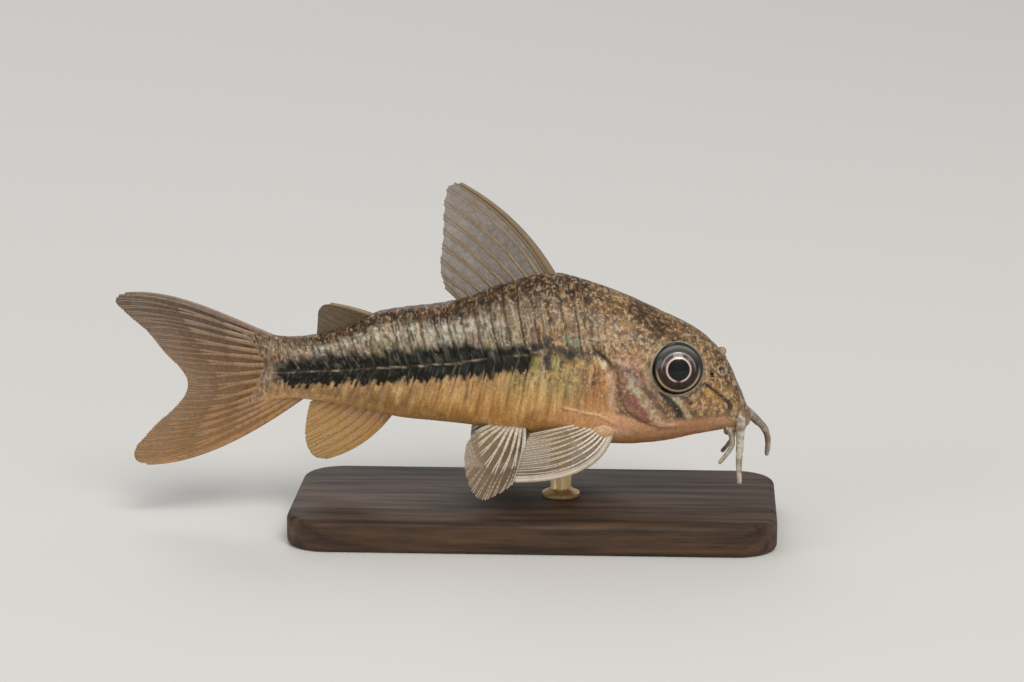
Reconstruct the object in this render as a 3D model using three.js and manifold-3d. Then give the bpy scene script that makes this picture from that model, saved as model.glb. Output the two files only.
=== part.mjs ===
// A corydoras catfish as a life-size display model on a plain stand, in millimetres.
// The head points to +X, the back to +Z, and the fish's right side faces -Y.
// The origin is the middle of the underside of the stand's base.
import * as THREE from "three";
import { mergeVertices } from "three/addons/utils/BufferGeometryUtils.js";
import Module from "manifold-3d";

const wasm = await Module();
wasm.setup();

// Driving dimensions
const SNOUT_X = 20.5; // the snout tip, ahead of the middle of the base
const BODY_LENGTH = 46; // snout tip to the end of the fleshy tail root
const GAP = 0.3; // between two nodes that meet
const BASE = { length: 46, width: 22, thickness: 3, corner: 4, edge: 0.6 };
const ROD = { behind: 18, radius: 1, collar: 1.8, intoBelly: 3 };

// The bony plates of the flank, in an upper and a lower row on each side
const PLATES = 24;
const FIRST_PLATE = 14.3; // behind the snout, at the seam between the rows
const PLATE_STEP = 0.2; // how far each plate's rear edge stands over the next plate
const PLATE_EDGE = 0.86; // where the rear edge starts, as a share of the plate
const PLATE_LEAN = 1.5; // how far a plate's far end lies behind its end at the seam
const SEAM_SHARE = 0.53; // the seam's height, as a share of the body's depth

// Fin thicknesses
const WEB = { root: 0.5, tip: 0.3 };
const RAY = { root: 0.85, tip: 0.42 };
const RAY_SHARE = 0.2; // half of a ray's width, as a share of the space between rays

// The body: distance behind the snout, top and bottom above the stand's base, half width
const BODY = [
  [0, 7.87, 7.87, 0],
  [0.3, 8.85, 7.15, 1.3],
  [1.05, 10.7, 6.95, 2.15],
  [2.5, 13.75, 6.85, 3.05],
  [4.85, 16.1, 6.45, 4.05],
  [8.65, 18.1, 5.75, 5.05],
  [13.3, 20.15, 5.6, 5.6],
  [16.3, 21.15, 5.85, 5.5],
  [18.6, 21.65, 6.1, 5.25],
  [23.9, 20.45, 6.75, 4.6],
  [26.9, 19.25, 7.1, 4.15],
  [29.5, 18.65, 7.3, 3.7],
  [33.4, 18.15, 7.6, 3.0],
  [35.7, 17.65, 8.05, 2.6],
  [38.1, 16.4, 8.5, 2.15],
  [41, 15.55, 9, 1.65],
  [43.5, 15.25, 9.2, 1.2],
  [BODY_LENGTH, 15.4, 9, 0.5],
];
// Its cross-section: distance behind the snout, height of the widest point as a share of the
// depth, and the powers of the two curves above and below that point
const SECTION = [
  [0, 0.45, 2, 2],
  [2.5, 0.42, 2.1, 2.3],
  [7, 0.4, 2.15, 2.4],
  [13.3, 0.34, 1.95, 2.8],
  [19, 0.36, 1.75, 2.8],
  [27, 0.4, 1.8, 2.5],
  [36, 0.46, 1.9, 2.1],
  [BODY_LENGTH, 0.5, 2, 2],
];

// A point of the fish: how far behind the snout, how high above the base, how far to its left
function place(behind, height, side = 0) {
  return new THREE.Vector3(SNOUT_X - behind, side, BASE.thickness + height);
}

// A table of stations as smooth functions, spaced by the square root so that the snout rounds off
function stations(table) {
  const width = table[0].length - 1;
  const places = table.map((row) => Math.sqrt(row[0]));
  const values = table.flatMap((row) => row.slice(1));
  const curve = new THREE.CubicInterpolant(places, values, width);
  return (behind) => Array.from(curve.evaluate(Math.sqrt(behind)));
}

const bodyAt = stations(BODY);
const sectionAt = stations(SECTION);
const smoothstep = THREE.MathUtils.smoothstep;

// One point of the skin. share runs from 0 at the back, over 0.5 at the seam, to 1 at the belly.
function skinPoint(behind, share, sign) {
  const [top, bottom, halfWidth] = bodyAt(behind);
  const [middle, upperPower, lowerPower] = sectionAt(behind);
  const depth = top - bottom;
  const seamRise = Math.max(0, (SEAM_SHARE - middle) / (1 - middle));
  const seamAngle = Math.acos(seamRise ** (upperPower / 2));
  const angle =
    share < 0.5
      ? seamAngle * share * 2
      : seamAngle + (Math.PI - seamAngle) * (share - 0.5) * 2;
  const upper = angle < Math.PI / 2;
  const power = 2 / (upper ? upperPower : lowerPower);
  const reach = depth * (upper ? 1 - middle : -middle);
  const side = sign * halfWidth * Math.abs(Math.sin(angle)) ** power;
  const height = bottom + depth * middle + reach * Math.abs(Math.cos(angle)) ** power;
  return place(behind, height, side);
}

// The skin point on the right side at a given height above the base
function rightSkinAt(behind, height) {
  let low = 0;
  let high = 1;
  for (let i = 0; i < 30; i += 1) {
    const share = (low + high) / 2;
    if (skinPoint(behind, share, -1).z > BASE.thickness + height) low = share;
    else high = share;
  }
  return skinPoint(behind, low, -1);
}

// The outward direction of the skin there
function rightNormalAt(behind, height) {
  const step = 0.2;
  const along = rightSkinAt(behind - step, height).sub(rightSkinAt(behind + step, height));
  const up = rightSkinAt(behind, height + step).sub(rightSkinAt(behind, height - step));
  return along.cross(up).normalize();
}

const EYE = { behind: 7.05, height: 13.35, radius: 2.5, thickness: 1.6, sunk: 0.62, turn: 0.14 };
const GILL_COVER = { behind: 10.1, height: 10.9, length: 2.75, depth: 3.6, rise: 0.3 };

// How far the bones of the head stand out: the gill cover's rim and the ring round the eye
function headRelief(behind, height) {
  const cover = Math.hypot(
    (behind - GILL_COVER.behind) / GILL_COVER.length,
    (height - GILL_COVER.height) / GILL_COVER.depth,
  );
  const coverRise = GILL_COVER.rise * smoothstep(cover, 0.2, 0.85) * (1 - smoothstep(cover, 0.97, 1.08));
  const rear = smoothstep(behind, GILL_COVER.behind - 2, GILL_COVER.behind + 1);
  const fromEye = Math.hypot(behind - EYE.behind, height - EYE.height);
  const orbit = 0.16 * Math.exp(-(((fromEye - EYE.radius - 0.45) / 0.4) ** 2));
  return coverRise * rear + orbit;
}

// How much of a plate's step shows at this share of the way round
function plateMask(share) {
  const fromSeam = Math.abs(share - 0.5) * 2;
  const groove = 1 - 0.65 * Math.exp(-((fromSeam / 0.06) ** 2));
  return smoothstep(share, 0.02, 0.14) * (1 - smoothstep(share, 0.84, 0.97)) * groove;
}

// How far a ring is swept back at this share of the way round
function leanAt(behind, share) {
  const fromSeam = Math.abs(share - 0.5) * 2;
  const fade = smoothstep(behind, 9, FIRST_PLATE) * (1 - smoothstep(behind, 42.5, 45.5));
  return PLATE_LEAN * fromSeam * (2 - fromSeam) * fade;
}

// The rings of the body from snout to tail. rise is the share of the plate's step at that ring.
function bodyRings() {
  const rings = [];
  const rootStep = 0.118;
  for (let root = 0.13; root ** 2 < FIRST_PLATE - 0.35; root += rootStep)
    rings.push({ behind: root ** 2, rise: 0 });
  const pitch = (BODY_LENGTH - FIRST_PLATE) / PLATES;
  for (let plate = 0; plate < PLATES; plate += 1) {
    const front = FIRST_PLATE + plate * pitch;
    rings.push({ behind: front, rise: 0 });
    rings.push({ behind: front + PLATE_EDGE * pitch, rise: 1 });
  }
  rings.push({ behind: BODY_LENGTH, rise: 0 });
  return rings;
}

// The whole body as one closed surface, grown outwards by the given amount
const AROUND = 32;
function bodySolid(grow) {
  const half = AROUND / 2;
  const points = [place(0, BODY[0][1])];
  const lifts = [0];
  const rings = bodyRings();
  for (const ring of rings)
    for (let j = 0; j < AROUND; j += 1) {
      const share = j <= half ? j / half : 2 - j / half;
      const behind = Math.min(ring.behind + leanAt(ring.behind, share), BODY_LENGTH);
      const point = skinPoint(behind, share, j <= half ? 1 : -1);
      points.push(point);
      const step = PLATE_STEP * Math.min(1, bodyAt(behind)[2] / 2);
      lifts.push(step * ring.rise * plateMask(share) + headRelief(behind, point.z - BASE.thickness));
    }
  points.push(place(BODY_LENGTH, 12.1));
  lifts.push(0);
  const index = [];
  const at = (i, j) => 1 + i * AROUND + (j % AROUND);
  const last = rings.length - 1;
  for (let j = 0; j < AROUND; j += 1) {
    index.push(0, at(0, j + 1), at(0, j));
    for (let i = 0; i < last; i += 1) {
      index.push(at(i, j), at(i, j + 1), at(i + 1, j));
      index.push(at(i, j + 1), at(i + 1, j + 1), at(i + 1, j));
    }
    index.push(points.length - 1, at(last, j), at(last, j + 1));
  }
  const geometry = new THREE.BufferGeometry().setFromPoints(points).setIndex(index);
  geometry.computeVertexNormals();
  const normals = geometry.attributes.normal;
  points.forEach((point, n) => {
    point.addScaledVector(new THREE.Vector3().fromBufferAttribute(normals, n), lifts[n] + grow);
  });
  return solidOf(new THREE.BufferGeometry().setFromPoints(points).setIndex(index));
}

// A closed three.js geometry as a solid that can be joined and cut
function solidOf(geometry) {
  const plain = geometry.clone();
  plain.deleteAttribute("normal");
  plain.deleteAttribute("uv");
  const merged = mergeVertices(plain, 1e-4);
  return new wasm.Manifold(
    new wasm.Mesh({
      numProp: 3,
      vertProperties: new Float32Array(merged.attributes.position.array),
      triVerts: new Uint32Array(merged.index.array),
    }),
  );
}

// The largest closed body of a solid
function largest(solid) {
  const bodies = solid.decompose();
  return bodies.reduce((best, body) => (body.volume() > best.volume() ? body : best));
}

function geometryOf(solid) {
  const mesh = largest(solid).getMesh();
  const positions = new THREE.BufferAttribute(new Float32Array(mesh.vertProperties), mesh.numProp);
  const geometry = new THREE.BufferGeometry();
  geometry.setAttribute("position", positions);
  geometry.setIndex(new THREE.BufferAttribute(new Uint32Array(mesh.triVerts), 1));
  geometry.computeVertexNormals();
  return geometry;
}

// Everything between two distances behind the snout, as a box
function slab(front, rear) {
  const size = 80;
  const box = new THREE.BoxGeometry(rear - front, size, size);
  box.translate(SNOUT_X - (front + rear) / 2, 0, 0);
  return solidOf(box);
}

// A round tapered rod along a curve, with rounded ends
function taperedRod(curve, rootRadius, tipRadius, steps = 10, sides = 8) {
  const frames = curve.computeFrenetFrames(steps, false);
  const points = [];
  const ring = (centre, k, radius) => {
    for (let j = 0; j < sides; j += 1) {
      const angle = (j / sides) * Math.PI * 2;
      points.push(
        centre
          .clone()
          .addScaledVector(frames.normals[k], radius * Math.cos(angle))
          .addScaledVector(frames.binormals[k], radius * Math.sin(angle)),
      );
    }
  };
  for (let k = 0; k <= steps; k += 1) {
    const radius = THREE.MathUtils.lerp(rootRadius, tipRadius, k / steps);
    ring(curve.getPointAt(k / steps), k, radius);
  }
  const tip = curve.getPointAt(1);
  ring(tip.clone().addScaledVector(frames.tangents[steps], tipRadius * 0.6), steps, tipRadius * 0.7);
  const rings = steps + 2;
  points.push(curve.getPointAt(0));
  points.push(tip.clone().addScaledVector(frames.tangents[steps], tipRadius));
  const index = [];
  const at = (i, j) => i * sides + (j % sides);
  for (let j = 0; j < sides; j += 1) {
    index.push(rings * sides, at(0, j + 1), at(0, j));
    for (let i = 0; i < rings - 1; i += 1) {
      index.push(at(i, j), at(i, j + 1), at(i + 1, j));
      index.push(at(i, j + 1), at(i + 1, j + 1), at(i + 1, j));
    }
    index.push(rings * sides + 1, at(rings - 1, j), at(rings - 1, j + 1));
  }
  return solidOf(new THREE.BufferGeometry().setFromPoints(points).setIndex(index));
}

// The rays of a fin: curves from its root to its margin, u from 0 to 1. bow(u) bends a ray at its
// middle and crest(u) near its tip.
const unbent = () => new THREE.Vector3();
function fan({ root, margin, count, bow, crest = unbent }) {
  return Array.from({ length: count }, (_, i) => {
    const u = i / (count - 1);
    const from = root.getPointAt(u);
    const to = margin.getPointAt(u);
    const middle = from.clone().add(to).multiplyScalar(0.5).addScaledVector(bow(u), 2);
    const near = from.clone().lerp(middle, 2 / 3);
    const far = to.clone().lerp(middle, 2 / 3).addScaledVector(crest(u), 2.25);
    return new THREE.CubicBezierCurve3(from, near, far, to);
  });
}

// A thin fin on those rays, each one raised as a ridge on both faces of the web
function finSolid(rays, rows = 7) {
  const columns = [];
  rays.forEach((_, i) => {
    if (i > 0) columns.push({ at: i - RAY_SHARE, ray: false });
    columns.push({ at: i, ray: true });
    if (i < rays.length - 1) columns.push({ at: i + RAY_SHARE, ray: false });
  });
  const webNotch = 0.02;
  const middle = columns.map(({ at, ray }) => {
    const near = Math.min(Math.floor(at), rays.length - 2);
    const reach = ray ? 1 : 1 - webNotch;
    return Array.from({ length: rows + 1 }, (_, row) => {
      const t = (row / rows) * reach;
      return rays[near].getPoint(t).lerp(rays[near + 1].getPoint(t), at - near);
    });
  });
  const clampTo = (value, most) => Math.max(0, Math.min(value, most));
  const across = columns.length - 1;
  const normalAt = (c, r) => {
    const sideways = middle[clampTo(c + 1, across)][r].clone().sub(middle[clampTo(c - 1, across)][r]);
    const outwards = middle[c][clampTo(r + 1, rows)].clone().sub(middle[c][clampTo(r - 1, rows)]);
    return sideways.cross(outwards).normalize();
  };
  const halfThickness = (c, r) => {
    const size = columns[c].ray ? RAY : WEB;
    return THREE.MathUtils.lerp(size.root, size.tip, (r / rows) ** 2) / 2;
  };
  const points = [];
  for (const face of [1, -1])
    for (let c = 0; c <= across; c += 1)
      for (let r = 0; r <= rows; r += 1)
        points.push(middle[c][r].clone().addScaledVector(normalAt(c, r), face * halfThickness(c, r)));
  const index = [];
  const at = (face, c, r) => (face * (across + 1) + c) * (rows + 1) + r;
  const quad = (a, b, c, d) => index.push(a, b, c, a, c, d);
  for (let c = 0; c < across; c += 1)
    for (let r = 0; r < rows; r += 1) {
      quad(at(0, c, r), at(0, c + 1, r), at(0, c + 1, r + 1), at(0, c, r + 1));
      index.push(at(1, c, r), at(1, c + 1, r + 1), at(1, c + 1, r));
      index.push(at(1, c, r), at(1, c, r + 1), at(1, c + 1, r + 1));
    }
  for (let c = 0; c < across; c += 1) {
    quad(at(0, c + 1, 0), at(0, c, 0), at(1, c, 0), at(1, c + 1, 0));
    quad(at(0, c, rows), at(0, c + 1, rows), at(1, c + 1, rows), at(1, c, rows));
  }
  for (let r = 0; r < rows; r += 1) {
    quad(at(0, 0, r), at(0, 0, r + 1), at(1, 0, r + 1), at(1, 0, r));
    quad(at(0, across, r + 1), at(0, across, r), at(1, across, r), at(1, across, r + 1));
  }
  return solidOf(new THREE.BufferGeometry().setFromPoints(points).setIndex(index));
}

const curveThrough = (...points) => new THREE.CatmullRomCurve3(points.map((p) => place(...p)));

// The back and belly lines, a little inside the body, where median fins are rooted
function backLine(front, rear, sunk) {
  const steps = [0, 0.25, 0.5, 0.75, 1].map((t) => THREE.MathUtils.lerp(front, rear, t));
  return new THREE.CatmullRomCurve3(steps.map((behind) => place(behind, bodyAt(behind)[0] - sunk)));
}
function bellyLine(front, rear, sunk) {
  const steps = [0, 0.25, 0.5, 0.75, 1].map((t) => THREE.MathUtils.lerp(front, rear, t));
  return new THREE.CatmullRomCurve3(steps.map((behind) => place(behind, bodyAt(behind)[1] + sunk)));
}

const meetingBody = bodySolid(GAP);
const meetBody = (solid) => solid.subtract(meetingBody);

// Head, torso and tail stalk, modelled whole and parted with thin cuts
const HEAD_END = 13.6;
const TORSO_END = 34;
const body = bodySolid(0);
const headCore = body.intersect(slab(-5, HEAD_END - GAP / 2));
const torso = body.intersect(slab(HEAD_END + GAP / 2, TORSO_END - GAP / 2));
const tailStalk = body.intersect(slab(TORSO_END + GAP / 2, 60));

// A lens-shaped eye that looks a little forwards and up
function eyeGeometry(grow) {
  const ball = new THREE.SphereGeometry(1, 18, 10);
  ball.scale(EYE.radius + grow, EYE.thickness + grow, EYE.radius + grow);
  ball.rotateZ(EYE.turn);
  ball.rotateX(-EYE.turn);
  const seat = rightSkinAt(EYE.behind, EYE.height);
  ball.translate(seat.x, seat.y + EYE.sunk, seat.z);
  return ball;
}

// Lips round the small mouth under the snout, and the groove between them
const lipCurve = (behind, height, reach, spread) =>
  curveThrough(
    [behind + reach, height + 0.1, -spread],
    [behind + reach * 0.3, height, -spread * 0.62],
    [behind, height, 0],
    [behind + reach * 0.3, height, spread * 0.62],
    [behind + reach, height + 0.1, spread],
  );
const LIP = { radius: 0.36, upper: [0.75, 7.05, 1.15, 1.75], lower: [1.6, 6.75, 0.9, 1.45] };
const MOUTH = { radius: 0.14, line: [1.15, 6.72, 1.05, 1.6] };
function lipsSolid(grow) {
  const radius = LIP.radius + grow;
  const upper = taperedRod(lipCurve(...LIP.upper), radius, radius, 8, 6);
  const lower = taperedRod(lipCurve(...LIP.lower), radius, radius, 8, 6);
  return upper.add(lower);
}
const mouthLine = taperedRod(lipCurve(...MOUTH.line), MOUTH.radius, MOUTH.radius, 8, 5);

// Two nostrils on each side: a raised ring with a flap in front and a plain opening behind it
const NOSTRILS = [
  { behind: 2.95, height: 12.9, radius: 0.5, hole: 0.26, rise: 0.3 },
  { behind: 3.75, height: 12.75, radius: 0, hole: 0.24, rise: 0.1 },
];
const FLAP = { behind: 2.9, height: 13.9, length: 0.5, rise: 0.65, thickness: 0.25 };
function onRightSkin(geometry, { behind, height }) {
  const turn = new THREE.Quaternion().setFromUnitVectors(
    new THREE.Vector3(0, 1, 0),
    rightNormalAt(behind, height),
  );
  const seat = rightSkinAt(behind, height);
  return geometry.applyQuaternion(turn).translate(seat.x, seat.y, seat.z);
}
const nostrilSink = 0.45;
function nostrilRim(nostril) {
  const { radius, rise } = nostril;
  const profile = [
    [0, -nostrilSink],
    [radius, -nostrilSink],
    [radius, rise * 0.5],
    [radius * 0.8, rise],
    [0, rise],
  ].map(([x, y]) => new THREE.Vector2(x, y));
  return solidOf(onRightSkin(new THREE.LatheGeometry(profile, 10), nostril));
}
function nostrilFlap() {
  const leaf = new THREE.SphereGeometry(1, 8, 6).scale(FLAP.length, FLAP.rise, FLAP.thickness);
  return solidOf(onRightSkin(leaf, FLAP));
}
function nostrilHole(nostril) {
  const drill = new THREE.CylinderGeometry(nostril.hole, nostril.hole * 0.7, 0.9, 8);
  return solidOf(onRightSkin(drill.translate(0, nostril.rise, 0), nostril));
}
const mirrored = (solid) => {
  const geometry = geometryOf(solid).scale(1, -1, 1);
  const index = geometry.index.array;
  for (let i = 0; i < index.length; i += 3) [index[i], index[i + 1]] = [index[i + 1], index[i]];
  return solidOf(geometry);
};
const onBothSides = (solid) => solid.add(mirrored(solid));

const socket = solidOf(eyeGeometry(GAP));
const head = headCore
  .add(lipsSolid(0))
  .subtract(mouthLine)
  .subtract(onBothSides(socket))
  .add(onBothSides(nostrilRim(NOSTRILS[0]).add(nostrilFlap())))
  .subtract(onBothSides(nostrilHole(NOSTRILS[0])))
  .subtract(onBothSides(nostrilHole(NOSTRILS[1])));

// Barbels hang from the corners of the mouth, the near side's and the far side's each in their pose
const BARBEL = {
  upper: { root: 0.46, tip: 0.32 },
  lower: { root: 0.32, tip: 0.25 },
};
const BARBEL_LINES = {
  barbel_upper_right: [
    [1.2, 9.1, -1.3],
    [1.0, 8.1, -2.05],
    [1.02, 6.2, -2.4],
    [1.09, 3.8, -2.6],
    [1.03, 1.85, -2.7],
  ],
  barbel_upper_left: [
    [0.9, 8.6, 1.1],
    [0.15, 7.85, 1.8],
    [-0.65, 7.0, 2.5],
    [-1.4, 6.05, 3.1],
    [-1.75, 4.8, 3.55],
    [-1.65, 3.2, 3.8],
  ],
  barbel_lower_right: [
    [2.4, 7.6, -1.3],
    [1.9, 6.75, -1.9],
    [1.72, 5.95, -2.2],
    [1.95, 5.3, -2.4],
    [3.0, 4.0, -2.8],
  ],
  barbel_lower_left: [
    [2.4, 7.6, 1.3],
    [1.85, 6.7, 1.95],
    [1.6, 5.8, 2.3],
    [1.8, 5.0, 2.6],
    [2.7, 3.7, 3.1],
  ],
};
const meetingLips = lipsSolid(GAP);
function barbelSolid(name) {
  const size = BARBEL[name.includes("upper") ? "upper" : "lower"];
  const rod = taperedRod(curveThrough(...BARBEL_LINES[name]), size.root, size.tip, 10);
  return meetBody(rod).subtract(meetingLips);
}

// The dorsal fin: a strong spine leaning back, then soft rays to the hind margin
const dorsalRays = fan({
  root: backLine(18.5, 26.9, 1),
  margin: curveThrough(
    [27.5, 30.1],
    [28.3, 30.1],
    [28.85, 29.5],
    [29.1, 28.0],
    [29.2, 25.1],
    [29.45, 21.9],
    [29.0, 20.1],
  ),
  count: 9,
  bow: (u) => new THREE.Vector3(1, 0, 0.9).multiplyScalar(0.75 * (1 - u) ** 1.5),
});
const dorsalSpine = taperedRod(dorsalRays[0], 0.5, 0.22, 8, 6);
const dorsalFin = meetBody(finSolid(dorsalRays, 6).add(dorsalSpine));

// The adipose fin: a short spine with a small web behind it
const adiposeRays = fan({
  root: backLine(34.9, 41.2, 1),
  margin: curveThrough([39.9, 18.4], [40.6, 18.3], [41.05, 17.8], [41.15, 16.9], [41.25, 15.6]),
  count: 4,
  bow: (u) => new THREE.Vector3(0, 0, 0.2 * (1 - u)),
});
const adiposeSpine = taperedRod(adiposeRays[0], 0.38, 0.25, 6, 6);
const adiposeFin = meetBody(finSolid(adiposeRays, 5).add(adiposeSpine));

// The forked tail fin, its upper lobe longer than its lower one
const caudalRays = fan({
  root: curveThrough([43.4, 14.4], [45.3, 13.9], [45.6, 12.1], [45.3, 10.2], [42.6, 9.5]),
  margin: curveThrough(
    [59.5, 19.22],
    [60.25, 18.95],
    [60.45, 18.45],
    [59.3, 17.2],
    [57.4, 15.5],
    [55.8, 13.5],
    [54.2, 11.8],
    [53.7, 10.6],
    [53.95, 9.5],
    [55.1, 8.05],
    [56.5, 6.8],
    [57.9, 5.3],
    [58.95, 3.95],
    [58.85, 2.95],
    [57.8, 2.6],
  ),
  count: 14,
  bow: (u) => new THREE.Vector3(0, 0, THREE.MathUtils.lerp(0.2, -1.1, u)),
  crest: (u) => new THREE.Vector3(0, 0, 0.85 * (1 - u) ** 3 - 0.3 * u ** 3),
});
const caudalFin = meetBody(finSolid(caudalRays, 7));

// The anal fin
const analRays = fan({
  root: bellyLine(33.7, 40.4, 0.9),
  margin: curveThrough(
    [40.6, 3.3],
    [41.6, 3.5],
    [42.25, 4.35],
    [42.5, 5.6],
    [42.3, 7.6],
    [42.0, 8.8],
  ),
  count: 8,
  bow: (u) => new THREE.Vector3(0.4, 0, -0.75).multiplyScalar((1 - u) ** 1.5),
});
const analFin = meetBody(finSolid(analRays, 6));

// The right pectoral fin: a stout spine swept back and out, rays behind it, on a fleshy root
const pectoralRays = fan({
  root: curveThrough([13.9, 8.2, -4.1], [14.6, 8.3, -4.1], [15.5, 8.4, -4.0]),
  margin: curveThrough([21.95, 3.65, -8.8], [21.6, 4.95, -7.9], [21.2, 6.2, -7.0], [20.7, 7.4, -6.0]),
  count: 9,
  bow: (u) => new THREE.Vector3(1.7, -0.4, -1.1).multiplyScalar((1 - u) ** 1.3),
});
const pectoralSpine = taperedRod(pectoralRays[0], 0.48, 0.25, 8, 6);
const pectoralRoot = new THREE.SphereGeometry(1, 10, 7);
pectoralRoot.scale(1.15, 0.8, 0.95).translate(...place(14.2, 8, -4.6));
const pectoralFin = meetBody(finSolid(pectoralRays, 6).add(pectoralSpine).add(solidOf(pectoralRoot)));

// The right pelvic fin: a broad fan that hangs down and back from the belly's edge
const pelvicRays = fan({
  root: curveThrough([21.4, 7.8, -3.2], [22.4, 7.9, -3.0], [23.3, 7.9, -2.7]),
  margin: curveThrough(
    [21.95, 2.9, -6.2],
    [23.5, 1.75, -6.4],
    [25.3, 1.05, -6.2],
    [26.3, 2.0, -5.7],
    [26.9, 4.0, -4.9],
    [26.75, 5.9, -4.3],
    [25.9, 7.0, -3.8],
  ),
  count: 8,
  bow: (u) => new THREE.Vector3(0.35, -0.3, 0).multiplyScalar(1 - 1.6 * u),
});
const pelvicFin = meetBody(finSolid(pelvicRays, 6));

// The stand: a flat base with round corners, and one rod with a collar at its foot, up to the belly
function baseGeometry() {
  const { length, width, thickness, corner, edge } = BASE;
  const x = length / 2 - edge;
  const y = width / 2 - edge;
  const r = corner - edge;
  const outline = new THREE.Shape();
  outline.absarc(x - r, y - r, r, 0, Math.PI / 2);
  outline.absarc(-x + r, y - r, r, Math.PI / 2, Math.PI);
  outline.absarc(-x + r, -y + r, r, Math.PI, Math.PI * 1.5);
  outline.absarc(x - r, -y + r, r, Math.PI * 1.5, Math.PI * 2);
  return new THREE.ExtrudeGeometry(outline, {
    depth: thickness - 2 * edge,
    bevelThickness: edge,
    bevelSize: edge,
    bevelSegments: 2,
    curveSegments: 5,
  }).translate(0, 0, edge);
}
function rodSolid() {
  const length = bodyAt(ROD.behind)[1] + ROD.intoBelly;
  const profile = [
    [0, 0],
    [ROD.collar, 0],
    [ROD.collar, 0.35],
    [ROD.radius + 0.3, 0.6],
    [ROD.radius, 0.9],
    [ROD.radius, length],
    [0, length],
  ].map(([x, y]) => new THREE.Vector2(x, y));
  const rod = new THREE.LatheGeometry(profile, 16).rotateX(Math.PI / 2);
  return meetBody(solidOf(rod.translate(...place(ROD.behind, 0))));
}

// Colours, roughness and metalness of each surface
const finish = (color, roughness, metalness = 0) =>
  new THREE.MeshStandardMaterial({ color, roughness, metalness });
const FINISH = {
  skin: finish(0x9a8468, 0.45),
  fin: finish(0xa88f74, 0.5),
  barbel: finish(0xb7aa9c, 0.5),
  eye: finish(0x1a1614, 0.1),
  base: finish(0x2b211b, 0.45),
  rod: finish(0xa08a5a, 0.3, 1),
};

const fish = new THREE.Group();
function addNode(name, geometry, material, isMirrored = false) {
  const mesh = new THREE.Mesh(geometry, material);
  mesh.name = name;
  if (isMirrored) mesh.scale.y = -1;
  fish.add(mesh);
}
addNode("head", geometryOf(head), FINISH.skin);
addNode("torso", geometryOf(torso), FINISH.skin);
addNode("tail_stalk", geometryOf(tailStalk), FINISH.skin);
addNode("dorsal_fin", geometryOf(dorsalFin), FINISH.fin);
addNode("adipose_fin", geometryOf(adiposeFin), FINISH.fin);
addNode("caudal_fin", geometryOf(caudalFin), FINISH.fin);
addNode("anal_fin", geometryOf(analFin), FINISH.fin);
for (const side of ["right", "left"]) {
  const isLeft = side === "left";
  addNode(`eye_${side}`, eyeGeometry(0), FINISH.eye, isLeft);
  addNode(`pectoral_fin_${side}`, geometryOf(pectoralFin), FINISH.fin, isLeft);
  addNode(`pelvic_fin_${side}`, geometryOf(pelvicFin), FINISH.fin, isLeft);
}
for (const name of Object.keys(BARBEL_LINES))
  addNode(name, geometryOf(barbelSolid(name)), FINISH.barbel);
addNode("stand_base", baseGeometry(), FINISH.base);
addNode("stand_rod", geometryOf(rodSolid()), FINISH.rod);

export default fish;
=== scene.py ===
"""A corydoras catfish on its stand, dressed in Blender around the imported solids.

Sizes are in millimetres, as in the solids' source, and turned into metres when a mesh is made.
The head points to +X, the back to +Z, and the fish's right side faces -Y.
"""

import itertools
import math

import bpy
import numpy as np
from mathutils import Matrix, Vector


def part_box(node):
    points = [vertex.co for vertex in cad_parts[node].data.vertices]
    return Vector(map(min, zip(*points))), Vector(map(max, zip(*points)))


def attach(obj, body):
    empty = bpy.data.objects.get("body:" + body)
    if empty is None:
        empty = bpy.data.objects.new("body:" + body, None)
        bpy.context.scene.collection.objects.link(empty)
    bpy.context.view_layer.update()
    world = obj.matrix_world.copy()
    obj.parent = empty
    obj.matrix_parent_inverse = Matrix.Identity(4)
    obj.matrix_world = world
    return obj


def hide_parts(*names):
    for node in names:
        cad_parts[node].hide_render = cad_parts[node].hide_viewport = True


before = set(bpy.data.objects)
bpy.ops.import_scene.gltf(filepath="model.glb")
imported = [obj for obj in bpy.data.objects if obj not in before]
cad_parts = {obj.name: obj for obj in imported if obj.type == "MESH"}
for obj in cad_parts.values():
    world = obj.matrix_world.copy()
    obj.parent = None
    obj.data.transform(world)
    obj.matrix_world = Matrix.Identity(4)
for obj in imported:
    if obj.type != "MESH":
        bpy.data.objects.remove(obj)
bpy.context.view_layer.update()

MM = 0.001
SNOUT_X = 20.5
STAND_TOP = 3.0
BODY_LENGTH = 46.0
SMALL = 1e-6
RIGHT = -1
LEFT = 1
SIDES = {"right": RIGHT, "left": LEFT}

# The bony plates of the flank, as in the solids
PLATES = 24
FIRST_PLATE = 14.3
PLATE_PITCH = (BODY_LENGTH - FIRST_PLATE) / PLATES
PLATE_STEP = 0.2
PLATE_EDGE = 0.86
PLATE_LEAN = 1.5
SEAM_SHARE = 0.53

# Distance behind the snout, top and bottom above the stand's base, half width
BODY = np.array(
    [
        [0, 7.87, 7.87, 0], [0.3, 8.85, 7.15, 1.3], [1.05, 10.7, 6.95, 2.15], [2.5, 13.75, 6.85, 3.05],
        [4.85, 16.1, 6.45, 4.05], [8.65, 18.1, 5.75, 5.05], [13.3, 20.15, 5.6, 5.6],
        [16.3, 21.15, 5.85, 5.5], [18.6, 21.65, 6.1, 5.25], [23.9, 20.45, 6.75, 4.6],
        [26.9, 19.25, 7.1, 4.15], [29.5, 18.65, 7.3, 3.7], [33.4, 18.15, 7.6, 3.0],
        [35.7, 17.65, 8.05, 2.6], [38.1, 16.4, 8.5, 2.15], [41, 15.55, 9, 1.65],
        [43.5, 15.25, 9.2, 1.2], [BODY_LENGTH, 15.4, 9, 0.5],
    ]
)

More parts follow.
